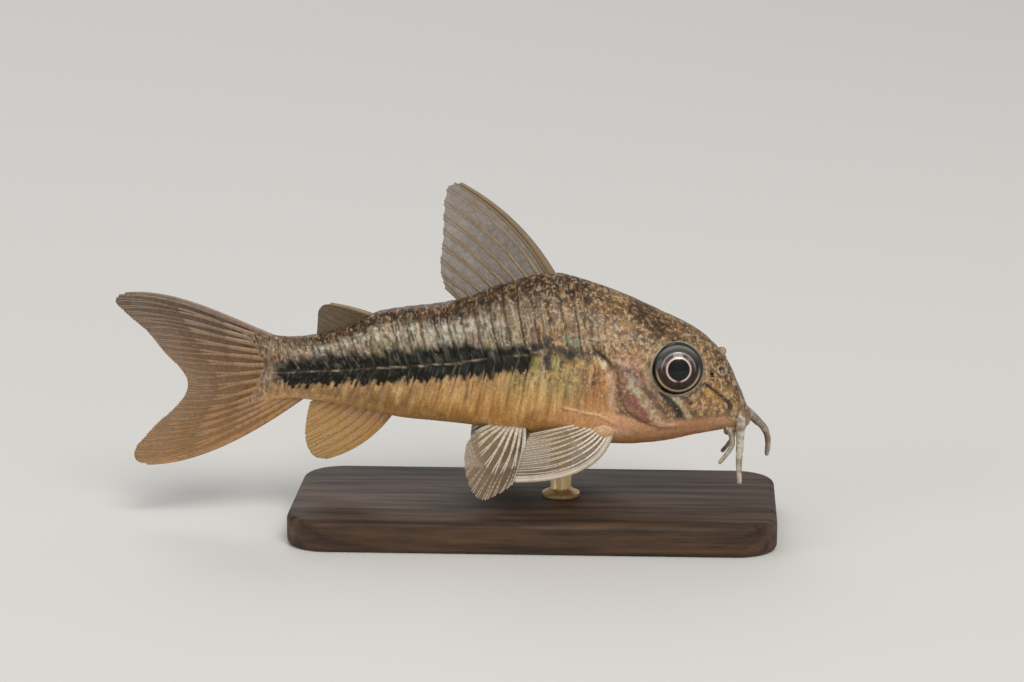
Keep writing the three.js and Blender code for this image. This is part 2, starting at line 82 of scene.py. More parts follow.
# Distance behind the snout, height of the widest point, powers of the curves above and below it
SECTION = np.array(
    [
        [0, 0.45, 2, 2], [2.5, 0.42, 2.1, 2.3], [7, 0.4, 2.15, 2.4], [13.3, 0.34, 1.95, 2.8],
        [19, 0.36, 1.75, 2.8], [27, 0.4, 1.8, 2.5], [36, 0.46, 1.9, 2.1], [BODY_LENGTH, 0.5, 2, 2],
    ]
)


def place(behind, height, side=0.0):
    """Points in millimetres from distances behind the snout, above the base and to the left."""
    behind, height, side = np.broadcast_arrays(behind, height, side)
    return np.stack([SNOUT_X - behind, side, STAND_TOP + height], axis=-1).astype(float)


def ramp(value, low, high):
    """0 below low, 1 above high, and a smooth rise between them."""
    share = np.clip((value - low) / (high - low), 0, 1)
    return share * share * (3 - 2 * share)


def fall(value, low, high):
    """1 below low, 0 above high, and a smooth fall between them."""
    return 1 - ramp(value, low, high)


def bell(value, middle, width):
    """1 at the middle, falling smoothly to nothing a few widths away."""
    return np.exp(-(((value - middle) / width) ** 2))


def stations(table):
    """A table of stations as smooth functions, spaced by the square root, as in the solids."""
    places = np.sqrt(table[:, 0])
    values = table[:, 1:]
    last = len(places) - 1

    def at(behind):
        s = np.sqrt(np.clip(behind, 0, BODY_LENGTH))
        i = np.clip(np.searchsorted(places, s, side="right") - 1, 0, last - 1)
        before = np.where(i > 0, i - 1, 1)
        after = np.where(i + 2 <= last, i + 2, last - 1)
        start, end = places[i], places[i + 1]
        half = (end - start) / 2
        pull = half / (start - np.where(i > 0, places[before], end))
        push = half / (np.where(i + 2 <= last, places[after], start) - end)
        p = (s - start) / (end - start)
        weights = [
            -pull * p**3 + 2 * pull * p**2 - pull * p,
            (1 + pull) * p**3 + (-1.5 - 2 * pull) * p**2 + (-0.5 + pull) * p + 1,
            (-1 - push) * p**3 + (1.5 + push) * p**2 + 0.5 * p,
            push * p**3 - push * p**2,
        ]
        rows = [before, i, i + 1, after]
        return sum(w[..., None] * values[row] for w, row in zip(weights, rows))

    return at


body_at = stations(BODY)
section_at = stations(SECTION)


def skin_point(behind, share, sign):
    """Points of the smooth skin. share is 0 at the back, 0.5 at the seam and 1 at the belly."""
    behind, share, sign = np.broadcast_arrays(behind, share, sign)
    top, bottom, half_width = np.moveaxis(body_at(behind), -1, 0)
    middle, upper_power, lower_power = np.moveaxis(section_at(behind), -1, 0)
    depth = top - bottom
    seam_rise = np.maximum(0, (SEAM_SHARE - middle) / (1 - middle))
    seam_angle = np.arccos(seam_rise ** (upper_power / 2))
    below = seam_angle + (np.pi - seam_angle) * (share - 0.5) * 2
    angle = np.where(share < 0.5, seam_angle * share * 2, below)
    upper = angle < np.pi / 2
    power = 2 / np.where(upper, upper_power, lower_power)
    reach = depth * np.where(upper, 1 - middle, -middle)
    side = sign * half_width * np.abs(np.sin(angle)) ** power
    height = bottom + depth * middle + reach * np.abs(np.cos(angle)) ** power
    return place(behind, height, side)


def skin_at(behind, height, sign=RIGHT):
    """The smooth skin's point at one distance and height."""
    low, high = 0.0, 1.0
    for _ in range(30):
        share = (low + high) / 2
        above = skin_point(behind, share, sign)[2] > STAND_TOP + height
        low, high = (share, high) if above else (low, share)
    return skin_point(behind, low, sign)


def normal_at(behind, height, sign=RIGHT):
    """The outward direction of the smooth skin there."""
    step = 0.2
    along = skin_at(behind - step, height, sign) - skin_at(behind + step, height, sign)
    up = skin_at(behind, height + step, sign) - skin_at(behind, height - step, sign)
    normal = np.cross(along, up) * -sign
    return normal / np.linalg.norm(normal)


def seat_frame(spot, sign):
    """A spot on the skin: its point, the outward direction, forward along the skin, and across."""
    seat = skin_at(spot["behind"], spot["height"], sign)
    normal = normal_at(spot["behind"], spot["height"], sign)
    forward = np.array([1.0, 0, 0]) - normal * normal[0]
    forward /= np.linalg.norm(forward)
    return seat, normal, forward, np.cross(normal, forward)


def lean_at(behind, share):
    """How far a ring is swept back at this share of the way round."""
    from_seam = np.abs(share - 0.5) * 2
    fade = ramp(behind, 9, FIRST_PLATE) * fall(behind, 42.5, 45.5)
    return PLATE_LEAN * from_seam * (2 - from_seam) * fade


def lattice(cells, seed):
    """A repeatable random number from 0 to 1 for each whole-numbered cell."""
    primes = (73856093, 19349663, 83492791)
    mixed = sum(cells[..., k].astype(np.int64) * primes[k] for k in range(cells.shape[-1]))
    mixed = (mixed + seed * 2654435761) & 0xFFFFFFFF
    for shift, factor in ((15, 2246822519), (13, 3266489917), (16, 668265263)):
        mixed = ((mixed ^ (mixed >> shift)) * factor) & 0xFFFFFFFF
    return mixed / 0xFFFFFFFF


def noise(points, size, seed):
    """Smooth noise from 0 to 1, its features about this size."""
    scaled = np.asarray(points, float) / size + 1000
    cell = np.floor(scaled).astype(np.int64)
    part = scaled - cell
    part = part * part * (3 - 2 * part)
    total = 0
    for corner in itertools.product((0, 1), repeat=cell.shape[-1]):
        weight = np.prod(np.where(corner, part, 1 - part), axis=-1)
        total = total + weight * lattice(cell + np.array(corner), seed)
    return total


def rough_noise(points, size, seed):
    """Noise with three finer layers, from 0 to 1."""
    layers = [noise(points, size / 2**k, seed + k) * 0.5**k for k in range(3)]
    return sum(layers) / 1.75


def linear(colour):
    """A colour given as #rrggbb, as linear red, green and blue."""
    parts = np.array([int(colour[k : k + 2], 16) / 255 for k in (1, 3, 5)])
    return np.where(parts <= 0.04045, parts / 12.92, ((parts + 0.055) / 1.055) ** 2.4)


def blend(colour, other, share):
    """Colours with this share of others in their place."""
    share = share[..., None]
    return colour * (1 - share) + other * share


def mix(colour, other, share):
    """Colours with this share of one #rrggbb laid over them."""
    return blend(colour, linear(other), np.clip(share, 0, 1))


def lay(colour, *layers):
    """Several colours laid over each other in turn, each by its own share."""
    for other, share in layers:
        colour = mix(colour, other, share)
    return colour


def plain(colour, like):
    """One colour at every point."""
    return np.broadcast_to(linear(colour), (*np.shape(like), 3))


def between(pair, share):
    """A value on its way from the first of a pair to the second."""
    return pair[0] + (pair[1] - pair[0]) * share


def lengths_along(points):
    """How far along a line of points each of them lies."""
    return np.concatenate([[0], np.cumsum(np.linalg.norm(np.diff(points, axis=0), axis=1))])


# Making objects
def make_object(name, points, faces, material, paint=None, masks=None):
    """A mesh object from points in millimetres and arrays of faces, with its vertex colours."""
    faces = [np.asarray(part, np.int32) for part in faces]
    mesh = bpy.data.meshes.new(name)
    points = np.asarray(points, float)
    mesh.vertices.add(len(points))
    mesh.vertices.foreach_set("co", (points * MM).ravel())
    corners = np.concatenate([part.ravel() for part in faces])
    sides = np.concatenate([np.full(len(part), part.shape[1]) for part in faces])
    mesh.loops.add(len(corners))
    mesh.loops.foreach_set("vertex_index", corners)
    mesh.polygons.add(len(sides))
    mesh.polygons.foreach_set("loop_start", np.concatenate([[0], np.cumsum(sides)[:-1]]))
    mesh.polygons.foreach_set("loop_total", sides)
    mesh.update(calc_edges=True)
    mesh.validate()
    if paint is not None:
        layer = mesh.color_attributes.new("paint", "FLOAT_COLOR", "POINT")
        rgba = np.ones((len(points), 4))
        rgba[:, :3] = np.clip(paint, 0, 1)
        layer.data.foreach_set("color", rgba.ravel())
    for key, values in (masks or {}).items():
        values = np.asarray(values, float).reshape(len(points), -1)
        is_vector = values.shape[1] == 3
        layer = mesh.attributes.new(key, "FLOAT_VECTOR" if is_vector else "FLOAT", "POINT")
        layer.data.foreach_set("vector" if is_vector else "value", values.ravel())
    mesh.polygons.foreach_set("use_smooth", np.ones(len(sides), bool))
    mesh.materials.append(material)
    obj = bpy.data.objects.new(name, mesh)
    bpy.context.scene.collection.objects.link(obj)
    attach(obj, "root")
    return obj


def make_skin_piece(name, points, faces, material, paint, speck):
    """A small piece in the skin's own material, as speckled as this."""
    still = np.zeros(len(points))
    masks = {"speck": still + speck, "streaks": still, "sheen": still, "gloss": still + 1}
    return make_object(name, points, faces, material, paint, masks)


def ring_faces(rings, around, first=0):
    """Quads that join rings of points, each ring closed on itself."""
    i, j = np.meshgrid(np.arange(rings - 1), np.arange(around), indexing="ij")
    after = (j + 1) % around
    quads = [i * around + j, i * around + after, (i + 1) * around + after, (i + 1) * around + j]
    return np.stack(quads, axis=-1).reshape(-1, 4) + first


def cap_faces(around, tip, first, flip):
    """Triangles that close a ring on a tip point."""
    j = np.arange(around)
    after = (j + 1) % around
    tips = np.full(around, tip)
    pair = (after + first, j + first) if flip else (j + first, after + first)
    return np.stack([tips, *pair], axis=-1)


def closed_rings(points, tips, flip=False):
    """Points and faces of a closed surface of rings, from its (rings, around, 3) points."""
    rings, around = points.shape[:2]
    count = rings * around
    quads = ring_faces(rings, around)
    start = cap_faces(around, count, 0, flip=True)
    end = cap_faces(around, count + 1, (rings - 1) * around, flip=False)
    faces = [quads, start, end]
    if flip:
        faces = [part[:, ::-1] for part in faces]
    return np.concatenate([points.reshape(-1, 3), np.asarray(tips)]), faces


def torus_faces(count, sides, flip):
    """Quads of a ring-shaped tube, closed both ways."""
    i, j = np.meshgrid(np.arange(count), np.arange(sides), indexing="ij")
    a, b = i * sides + j, i * sides + (j + 1) % sides
    c, d = ((i + 1) % count) * sides + (j + 1) % sides, ((i + 1) % count) * sides + j
    return np.stack([a, d, c, b] if flip else [a, b, c, d], axis=-1).reshape(-1, 4)


def full_turn(count):
    """Angles spaced evenly once round."""
    return np.linspace(0, 2 * math.pi, count, endpoint=False)


def in_circle(turn, forward, up):
    """Unit directions at these angles, from forward and over the top."""
    return np.cos(turn)[:, None] * forward + np.sin(turn)[:, None] * up


RIM_SIDES = 12


def rim_tube(ring, spokes, normal, thick, tall, flip):
    """A ring-shaped tube round an opening, this thick across it and this tall along normal."""
    profile = full_turn(RIM_SIDES)
    body = ring[:, None] + spokes[:, None] * (thick * np.cos(profile))[None, :, None]
    body = body + normal * (tall[:, None] * np.sin(profile))[..., None]
    return body.reshape(-1, 3), torus_faces(len(ring), RIM_SIDES, flip)


def join(parts):
    """Several (points, faces) pieces as one."""
    points, faces, start = [], [], 0
    for part_points, part_faces in parts:
        points.append(part_points)
        faces.extend(np.asarray(part) + start for part in part_faces)
        start += len(part_points)
    return np.concatenate(points), faces


def mirror(points, faces):
    """A mesh's mirror image on the fish's other side."""
    return points * np.array([1, -1, 1]), [part[:, ::-1] for part in faces]


# Materials
def new_material(name, **settings):
    """A material with one Principled shader, and its node tree."""
    material = bpy.data.materials.new(name)
    material.use_nodes = True
    tree = material.node_tree
    shader = tree.nodes["Principled BSDF"]
    for key, value in settings.items():
        shader.inputs[key.replace("_", " ")].default_value = value
    return material, tree, shader


def node(tree, kind, settings=None, inputs=None):
    """A new node with its settings, and its inputs set or linked."""
    made = tree.nodes.new(kind)
    for key, value in (settings or {}).items():
        setattr(made, key, value)
    for key, value in (inputs or {}).items():
        socket = made.inputs[key]
        if isinstance(value, bpy.types.NodeSocket):
            tree.links.new(value, socket)
        else:
            socket.default_value = value
    return made


def connect(tree, shader, sockets):
    """Links to the shader's inputs, by their names."""
    for name, socket in sockets.items():
        tree.links.new(socket, shader.inputs[name])


def math_node(tree, operation, *values):
    """A math node's result, from sockets or numbers."""
    return node(tree, "ShaderNodeMath", {"operation": operation}, dict(enumerate(values))).outputs[0]


def product(tree, *values):
    """Two sockets or numbers multiplied."""
    return math_node(tree, "MULTIPLY", *values)


def vector_math(tree, operation, first, key, value):
    """A vector operation's result, with its second input named by key."""
    made = node(tree, "ShaderNodeVectorMath", {"operation": operation}, {0: first, key: value})
    return made.outputs[0]


def mixed_colour(tree, share, first, second, blend="MIX"):
    """Two colours mixed in the shader."""
    made = node(tree, "ShaderNodeMix", {"data_type": "RGBA", "blend_type": blend})
    for key, value in ((0, share), (6, first), (7, second)):
        if isinstance(value, bpy.types.NodeSocket):
            tree.links.new(value, made.inputs[key])
        else:
            made.inputs[key].default_value = value
    return made.outputs[2]


def noise_texture(tree, size, detail=2.0, stretch=(1, 1, 1), roughness=0.5):
    """Noise with features of this size in millimetres, in the object's own place."""
    place_in = node(tree, "ShaderNodeTexCoord").outputs["Object"]
    scaled = node(tree, "ShaderNodeMapping", {}, {"Vector": place_in, "Scale": stretch}).outputs[0]
    inputs = {"Vector": scaled, "Scale": 1 / (size * MM), "Detail": detail, "Roughness": roughness}
    return node(tree, "ShaderNodeTexNoise", {}, inputs)


def mask(tree, name):
    """A piece's own mask, as a number."""
    return node(tree, "ShaderNodeAttribute", {"attribute_name": name}).outputs["Fac"]


def ranged(tree, value, low, high, to_low=0.0, to_high=1.0):
    """A value moved from one range to another, and kept in it."""
    inputs = {"Value": value, "From Min": low, "From Max": high, "To Min": to_low, "To Max": to_high}
    return node(tree, "ShaderNodeMapRange", {"clamp": True}, inputs).outputs[0]


def from_grain(tree, grain, low, high):
    """A noise texture's usual range moved to this one."""
    return ranged(tree, grain, 0.3, 0.7, low, high)


def shaded_paint(tree, grain, low, high):
    """The vertex colours, darkened and lightened by a grain."""
    paint = node(tree, "ShaderNodeAttribute", {"attribute_name": "paint"}).outputs["Color"]
    return mixed_colour(tree, 1.0, paint, from_grain(tree, grain, low, high), "MULTIPLY")


def bump(tree, shader, height, depth):
    """Fine relief of this depth in millimetres."""
    inputs = {"Height": height, "Strength": 1.0, "Distance": depth * MM}
    tree.links.new(node(tree, "ShaderNodeBump", {}, inputs).outputs[0], shader.inputs["Normal"])


# Dark and pale lines on the plates: where the noise becomes a line, how strong, and the colour
STREAKS = [
    ((0.36, 0.49, 0.8, 0.0), (0.03, 0.022, 0.015, 1)), ((0.55, 0.68, 0.0, 0.45), (0.45, 0.38, 0.27, 1)),
]

# Dark, golden and pale flecks: size, stretch, where the noise becomes a fleck, and the colour
FLECKS = [
    (0.5, (1, 0.9, 1.1), (0.4, 0.49, 0.62, 0.0), (0.035, 0.024, 0.015, 1)),
    (0.62, (1.1, 1, 0.9), (0.54, 0.61, 0.0, 0.5), (0.36, 0.19, 0.065, 1)),
    (0.38, (1, 1, 0.8), (0.55, 0.63, 0.0, 0.62), (0.45, 0.34, 0.23, 1)),
]

# Small glints between them, of two colours
GLINTS = {"size": 0.27, "chance": 0.2, "strength": 0.55}
GLINT_TONES = ((0.56, 0.35, 0.16, 1), (0.4, 0.38, 0.3, 1))


def add_streaks(tree, colour):
    """Fine dark and pale lines, drawn out along the plates' height."""
    streaks = mask(tree, "streaks")
    flat = node(tree, "ShaderNodeAttribute", {"attribute_name": "flat"}).outputs["Vector"]
    drawn_out = node(tree, "ShaderNodeMapping", {}, {"Vector": flat, "Scale": (4.2, 0.55, 0.55)})
    inputs = {"Vector": drawn_out.outputs[0], "Scale": 1.0, "Detail": 2.0}
    lines = node(tree, "ShaderNodeTexNoise", {}, inputs).outputs["Fac"]
    for limits, paint in STREAKS:
        cover = product(tree, ranged(tree, lines, *limits), streaks)
        colour = mixed_colour(tree, cover, colour, paint)
    return colour


def add_flecks(tree, colour):
    """Dark, golden and pale flecks with small glints, and where the pale ones lie."""
    speck = mask(tree, "speck")
    for size, stretch, limits, paint in FLECKS:
        texture = noise_texture(tree, size, detail=2, stretch=stretch).outputs["Fac"]
        flecks = product(tree, ranged(tree, texture, *limits), speck)
        colour = mixed_colour(tree, flecks, colour, paint)
    glint, tone = scatter(tree, GLINTS["size"], product(tree, speck, GLINTS["chance"]))
    tint = mixed_colour(tree, tone, *GLINT_TONES)
    return mixed_colour(tree, product(tree, glint, GLINTS["strength"]), colour, tint), flecks


def scatter(tree, size, chance):
    """Ragged dots of about this size, shown as often as chance says, and a tone for each dot."""
    place_in = node(tree, "ShaderNodeTexCoord").outputs["Object"]
    wander = noise_texture(tree, size, detail=2).outputs["Color"]
    centred = vector_math(tree, "SUBTRACT", wander, 1, (0.5, 0.5, 0.5))
    moved = vector_math(tree, "SCALE", centred, "Scale", 1.1 * size * MM)
    moved = vector_math(tree, "ADD", place_in, 1, moved)
    inputs = {"Vector": moved, "Scale": 1 / (size * MM), "Randomness": 1.0}
    dots = node(tree, "ShaderNodeTexVoronoi", {}, inputs)
    picked = node(tree, "ShaderNodeSeparateColor", {}, {"Color": dots.outputs["Color"]})
    near = ranged(tree, dots.outputs["Distance"], 0.2, 0.68, 1.0, 0.0)
    chosen = math_node(tree, "LESS_THAN", picked.outputs[0], chance)
    return product(tree, near, chosen), picked.outputs[1]


def skin_material():
    """Painted skin under a wet gloss, with fine streaks and pale, golden and dark flecks."""
    material, tree, shader = new_material(
        "skin_scales",
        Roughness=0.45,
        Subsurface_Weight=0.1,
        Subsurface_Scale=1.0,
        Subsurface_Radius=(0.0007, 0.0004, 0.00025),
        Coat_Roughness=0.2,
    )
    gloss = mask(tree, "gloss")
    grain = noise_texture(tree, 0.25, detail=3, roughness=0.7).outputs["Fac"]
    colour = add_streaks(tree, shaded_paint(tree, grain, 0.68, 1.28))
    colour, pale = add_flecks(tree, colour)
    sockets = {
        "Base Color": colour,
        "Roughness": from_grain(tree, grain, 0.56, 0.38),
        "Metallic": product(tree, mask(tree, "sheen"), 0.1),
        "Coat Weight": product(tree, gloss, 0.2),
        "Specular IOR Level": product(tree, gloss, 0.42),
    }
    connect(tree, shader, sockets)
    bump(tree, shader, math_node(tree, "ADD", product(tree, grain, 0.7), pale), 0.04)
    return material


def web_material():
    """A thin see-through web with faint dusting."""
    material, tree, shader = new_material("fin_web", Roughness=0.5, Specular_IOR_Level=0.18)
    dust = noise_texture(tree, 0.5, detail=3, roughness=0.6).outputs["Fac"]
    cover = product(tree, mask(tree, "cover"), from_grain(tree, dust, 0.85, 1.15))
    connect(tree, shader, {"Base Color": shaded_paint(tree, dust, 0.85, 1.12), "Alpha": cover})
    bump(tree, shader, dust, 0.02)
    return material


def ray_material():
    """Pale jointed rays with a little gloss."""
    material, tree, shader = new_material(
        "fin_rays",
        Roughness=0.42,
        Coat_Weight=0.12,
        Coat_Roughness=0.2,
        Subsurface_Weight=0.2,
        Subsurface_Scale=1.0,
        Subsurface_Radius=(0.0006, 0.0005, 0.0004),
    )
    grain = noise_texture(tree, 0.12, detail=2).outputs["Fac"]
    connect(tree, shader, {"Base Color": shaded_paint(tree, grain, 0.85, 1.12)})
    bump(tree, shader, grain, 0.02)
    return material


def eye_material():
    """A painted eye under a clear, wet coat."""
    material, tree, shader = new_material(
        "eye_globe", Roughness=0.4, Specular_IOR_Level=0.1, Coat_Weight=0.5, Coat_Roughness=0.06
    )
    grain = noise_texture(tree, 0.16, detail=3).outputs["Fac"]
    sockets = {"Base Color": shaded_paint(tree, grain, 0.85, 1.15), "Metallic": mask(tree, "sheen")}
    connect(tree, shader, sockets)
    return material


def wood_material():
    """Dark satin wood, its grain along the base."""
    material, tree, shader = new_material("stand_wood", Specular_IOR_Level=0.3)
    bands = noise_texture(tree, 1.1, detail=4, stretch=(0.09, 1, 1), roughness=0.6).outputs["Fac"]
    pores = noise_texture(tree, 0.16, detail=2, stretch=(0.06, 1, 1)).outputs["Fac"]
    dark, pale, deepest = (0.02, 0.0105, 0.006, 1), (0.08, 0.042, 0.021, 1), (0.01, 0.006, 0.0035, 1)
    colour = mixed_colour(tree, ranged(tree, bands, 0.35, 0.68), dark, pale)
    colour = mixed_colour(tree, ranged(tree, pores, 0.6, 0.75, 0.0, 0.6), colour, deepest)
    connect(tree, shader, {"Base Color": colour, "Roughness": from_grain(tree, bands, 0.64, 0.5)})
    bump(tree, shader, pores, 0.02)
    return material


def metal_material():
    """Brushed brass."""
    material, tree, shader = new_material("stand_metal", Metallic=0.85)
    lines = noise_texture(tree, 0.25, detail=3, stretch=(1, 1, 0.05)).outputs["Fac"]
    deep, bright = (0.62, 0.44, 0.2, 1), (0.8, 0.61, 0.32, 1)
    colour = mixed_colour(tree, from_grain(tree, lines, 0.0, 1.0), deep, bright)
    connect(tree, shader, {"Base Color": colour, "Roughness": from_grain(tree, lines, 0.4, 0.28)})
    bump(tree, shader, lines, 0.01)
    return material


# The head: its eyes, its nostrils and the lines between its bones. The eyes are lens-shaped
# balls that look a little forwards and up
EYE = {"behind": 7.05, "height": 13.35, "radius": 2.5, "thickness": 1.6, "sunk": 0.62, "turn": 0.14}
SOCKET_RADIUS = 2.4
NOSTRIL_RIM = {"behind": 2.95, "height": 12.9, "radius": 0.44, "thick": 0.12, "rise": 0.3}
NOSTRIL_HOLES = [(2.95, 12.9), (3.75, 12.75)]
HOLE_DEPTH = 0.45
GILL_SLIT = [
    (12.71, 14.03), (12.6, 12.57), (12.5, 11.63), (12.3, 10.69), (11.74, 9.62), (10.43, 8.61),
    (9.0, 7.9),
]
CHEEK_LINE = [(4.48, 11.92), (3.82, 11.49), (3.25, 10.97), (2.59, 10.43), (2.11, 9.9), (1.92, 9.39)]
SHOULDER_LINE = [
    (15.34, 15.73), (14.68, 15.2), (14.11, 14.76), (13.36, 14.22), (13.07, 13.58), (13.35, 13.31),
]
CORACOID_LINE = [(17.6, 10.0), (16.97, 9.83), (15.47, 9.49), (14.07, 9.13), (12.66, 8.34)]
DARK_BAR = [(8.3, 11.37), (7.83, 10.68), (7.36, 10.09), (6.79, 9.27), (6.6, 8.65)]


def eye_axes(sign):
    """The eye's middle, and its forward, outward and upward directions."""
    seat = skin_at(EYE["behind"], EYE["height"], sign)
    middle = seat - np.array([0, sign * EYE["sunk"], 0])
    turn = np.array(Matrix.Rotation(-EYE["turn"], 3, "X") @ Matrix.Rotation(EYE["turn"], 3, "Z"))
    forward, inward, up = turn.T
    outward = -inward
    if sign > 0:
        forward, outward, up = (axis * np.array([1, -1, 1]) for axis in (forward, outward, up))
    return middle, forward, outward, up


def from_eye(skin):
    """How far each point of the skin lies from the eye's middle, seen from the side."""
    return np.hypot(skin["behind"] - EYE["behind"], skin["height"] - EYE["height"])


def gill_inside(skin):
    """How far forward of the gill cover's edge each point lies."""
    rim = np.array(GILL_SLIT[::-1])
    return np.interp(skin["height"], rim[:, 1], rim[:, 0]) - skin["behind"]


def head_relief(skin):
    """The gill cover and the ring round the eye, over the smooth skin."""
    height, inside = skin["height"], gill_inside(skin)
    reach = ramp(height, 7.5, 8.4) * fall(height, 13.2, 14.6)
    cover = 0.32 * ramp(inside, -0.08, 0.14) * fall(inside, 0.5, 2.8) * reach
    return cover + 0.16 * bell(from_eye(skin), EYE["radius"] + 0.45, 0.4)


def line_distance(skin, line):
    """How far each point of the skin lies from a line drawn on its side."""
    here = np.stack([skin["behind"], skin["height"]], axis=-1)
    nearest = np.full(here.shape[:-1], np.inf)
    for start, end in zip(line[:-1], line[1:]):
        start, end = np.array(start, float), np.array(end, float)
        along = end - start
        share = np.clip(((here - start) @ along) / (along @ along), 0, 1)
        nearest = np.minimum(nearest, np.linalg.norm(here - start - share[..., None] * along, axis=-1))
    return nearest


def head_details(skin):
    """Grooves and low ridges between the head's bones and plates."""
    lines = (
        (-0.2, GILL_SLIT, 0.16),
        (-0.16, CHEEK_LINE, 0.17),
        (-0.18, SHOULDER_LINE, 0.2),
        (-0.1, DARK_BAR, 0.22),
        (0.09, CORACOID_LINE, 0.18),
    )
    return sum(rise * bell(line_distance(skin, line), 0, width) for rise, line, width in lines)


# The skin
HEAD_RINGS = 200
SKIN_AROUND = 232
PLATE_RINGS = (0, 0.14, 0.3, 0.46, 0.62, 0.76, 0.85, 0.91, 0.965)
SHEATH_STEPS = 9
SEAM_MIDDLE = 12.2

# About how far the skin runs from the back to the belly
HALF_GIRTH = 26


def skin_rows():
    """The rings of the skin, as distances behind the snout before their lean."""
    roots = np.linspace(0.12, math.sqrt(FIRST_PLATE), HEAD_RINGS, endpoint=False)
    plates = FIRST_PLATE + PLATE_PITCH * (np.arange(PLATES)[:, None] + np.array(PLATE_RINGS))
    return np.concatenate([roots**2, plates.ravel(), [BODY_LENGTH]])


def plate_mask(share):
    """How much of a plate's step shows at this share of the way round."""
    from_seam = np.abs(share - 0.5) * 2
    groove = 1 - 0.65 * bell(from_seam, 0, 0.06)
    lower = 1 - 0.4 * ramp(share, 0.5, 0.6)
    return ramp(share, 0.02, 0.14) * fall(share, 0.68, 0.88) * groove * lower


def plate_phase(row):
    """Which plate a ring lies on, and how far along it from 0 to 1."""
    phase = (row - FIRST_PLATE) / PLATE_PITCH
    number = np.floor(phase)
    return number, phase - number


def skin_grid():
    """The points of the smooth skin and where each of them lies."""
    rows = skin_rows()
    half = SKIN_AROUND // 2
    j = np.arange(SKIN_AROUND)
    share = np.where(j <= half, j / half, 2 - j / half)[None, :]
    sign = np.where(j <= half, 1.0, -1.0)[None, :]
    row = rows[:, None]
    behind = np.minimum(row + lean_at(row, share), BODY_LENGTH)
    points = skin_point(behind, share, sign)
    top, bottom, half_width = np.moveaxis(body_at(behind), -1, 0)
    height = points[..., 2] - STAND_TOP
    row, share = np.broadcast_to(row, behind.shape), np.broadcast_to(share, behind.shape)
    skin = {
        "points": points,
        "row": row,
        "behind": behind,
        "height": height,
        "share": share,
        "sign": np.broadcast_to(sign, behind.shape),
        "half_width": half_width,
        "level": (height - bottom) / np.maximum(top - bottom, SMALL),
    }
    skin = add_sheath(skin)
    flat = [skin["row"], skin["share"] * HALF_GIRTH, skin["points"][..., 1]]
    return {**skin, "flat": np.stack(flat, axis=-1)}


def add_sheath(skin):
    """The rings drawn on over the tail fin's root, longest at its top and bottom."""
    last = {key: values[-1:] for key, values in skin.items()}
    step = np.linspace(0, 1, SHEATH_STEPS + 1)[1:, None]
    spread_out = (last["height"] - SEAM_MIDDLE) / 3.2
    ragged = noise(last["height"][..., None], 0.4, 65)
    length = (0.45 + 3.3 * spread_out**2) * (0.75 + 0.5 * ragged)
    row = BODY_LENGTH + length * step
    height = last["height"] + 0.3 * spread_out * length * step
    width = np.abs(last["points"][..., 1])
    thin = 0.05 * np.minimum(width / 0.3, 1)
    side = last["sign"] * (width * (1 - step) ** 1.2 + thin * step)
    more = {key: np.repeat(values, SHEATH_STEPS, axis=0) for key, values in last.items()}
    more.update(row=row, behind=row, height=height, points=place(row, height, side))
    return {key: np.concatenate([values, more[key]]) for key, values in skin.items()}


def grid_normals(points):
    """The outward directions of a grid of rings."""
    along_ring = np.roll(points, -1, axis=1) - np.roll(points, 1, axis=1)
    normals = np.cross(along_ring, np.gradient(points, axis=0))
    normals /= np.maximum(np.linalg.norm(normals, axis=-1, keepdims=True), SMALL)
    outwards = np.sum(normals * (points - points.mean(axis=1, keepdims=True)), axis=-1).mean()
    return normals * np.sign(outwards)


def skin_lift(skin):
    """How far the skin stands over the smooth form, with the plates' steps and the head's bones."""
    _, along = plate_phase(skin["row"])
    ragged = 0.05 * (noise(skin["share"][..., None] * np.array([260.0]), 1.0, 61) - 0.5)
    rise = ramp(along, -0.1, PLATE_EDGE - 0.08)
    rise = rise * fall(along + ragged, PLATE_EDGE, 0.97)
    on_plates = (skin["row"] >= FIRST_PLATE) & (skin["row"] < BODY_LENGTH)
    step = PLATE_STEP * np.minimum(1, skin["half_width"] / 2) * rise * on_plates
    step = step * plate_mask(skin["share"])
    seam = -0.05 * bell(skin["share"], 0.5, 0.006) * on_plates
    on_head = fall(skin["behind"], 14, 17)
    lumps = 0.08 * (rough_noise(skin["points"], 0.8, 63) - 0.5) * on_head
    return step + seam + lumps + head_relief(skin) + head_details(skin)


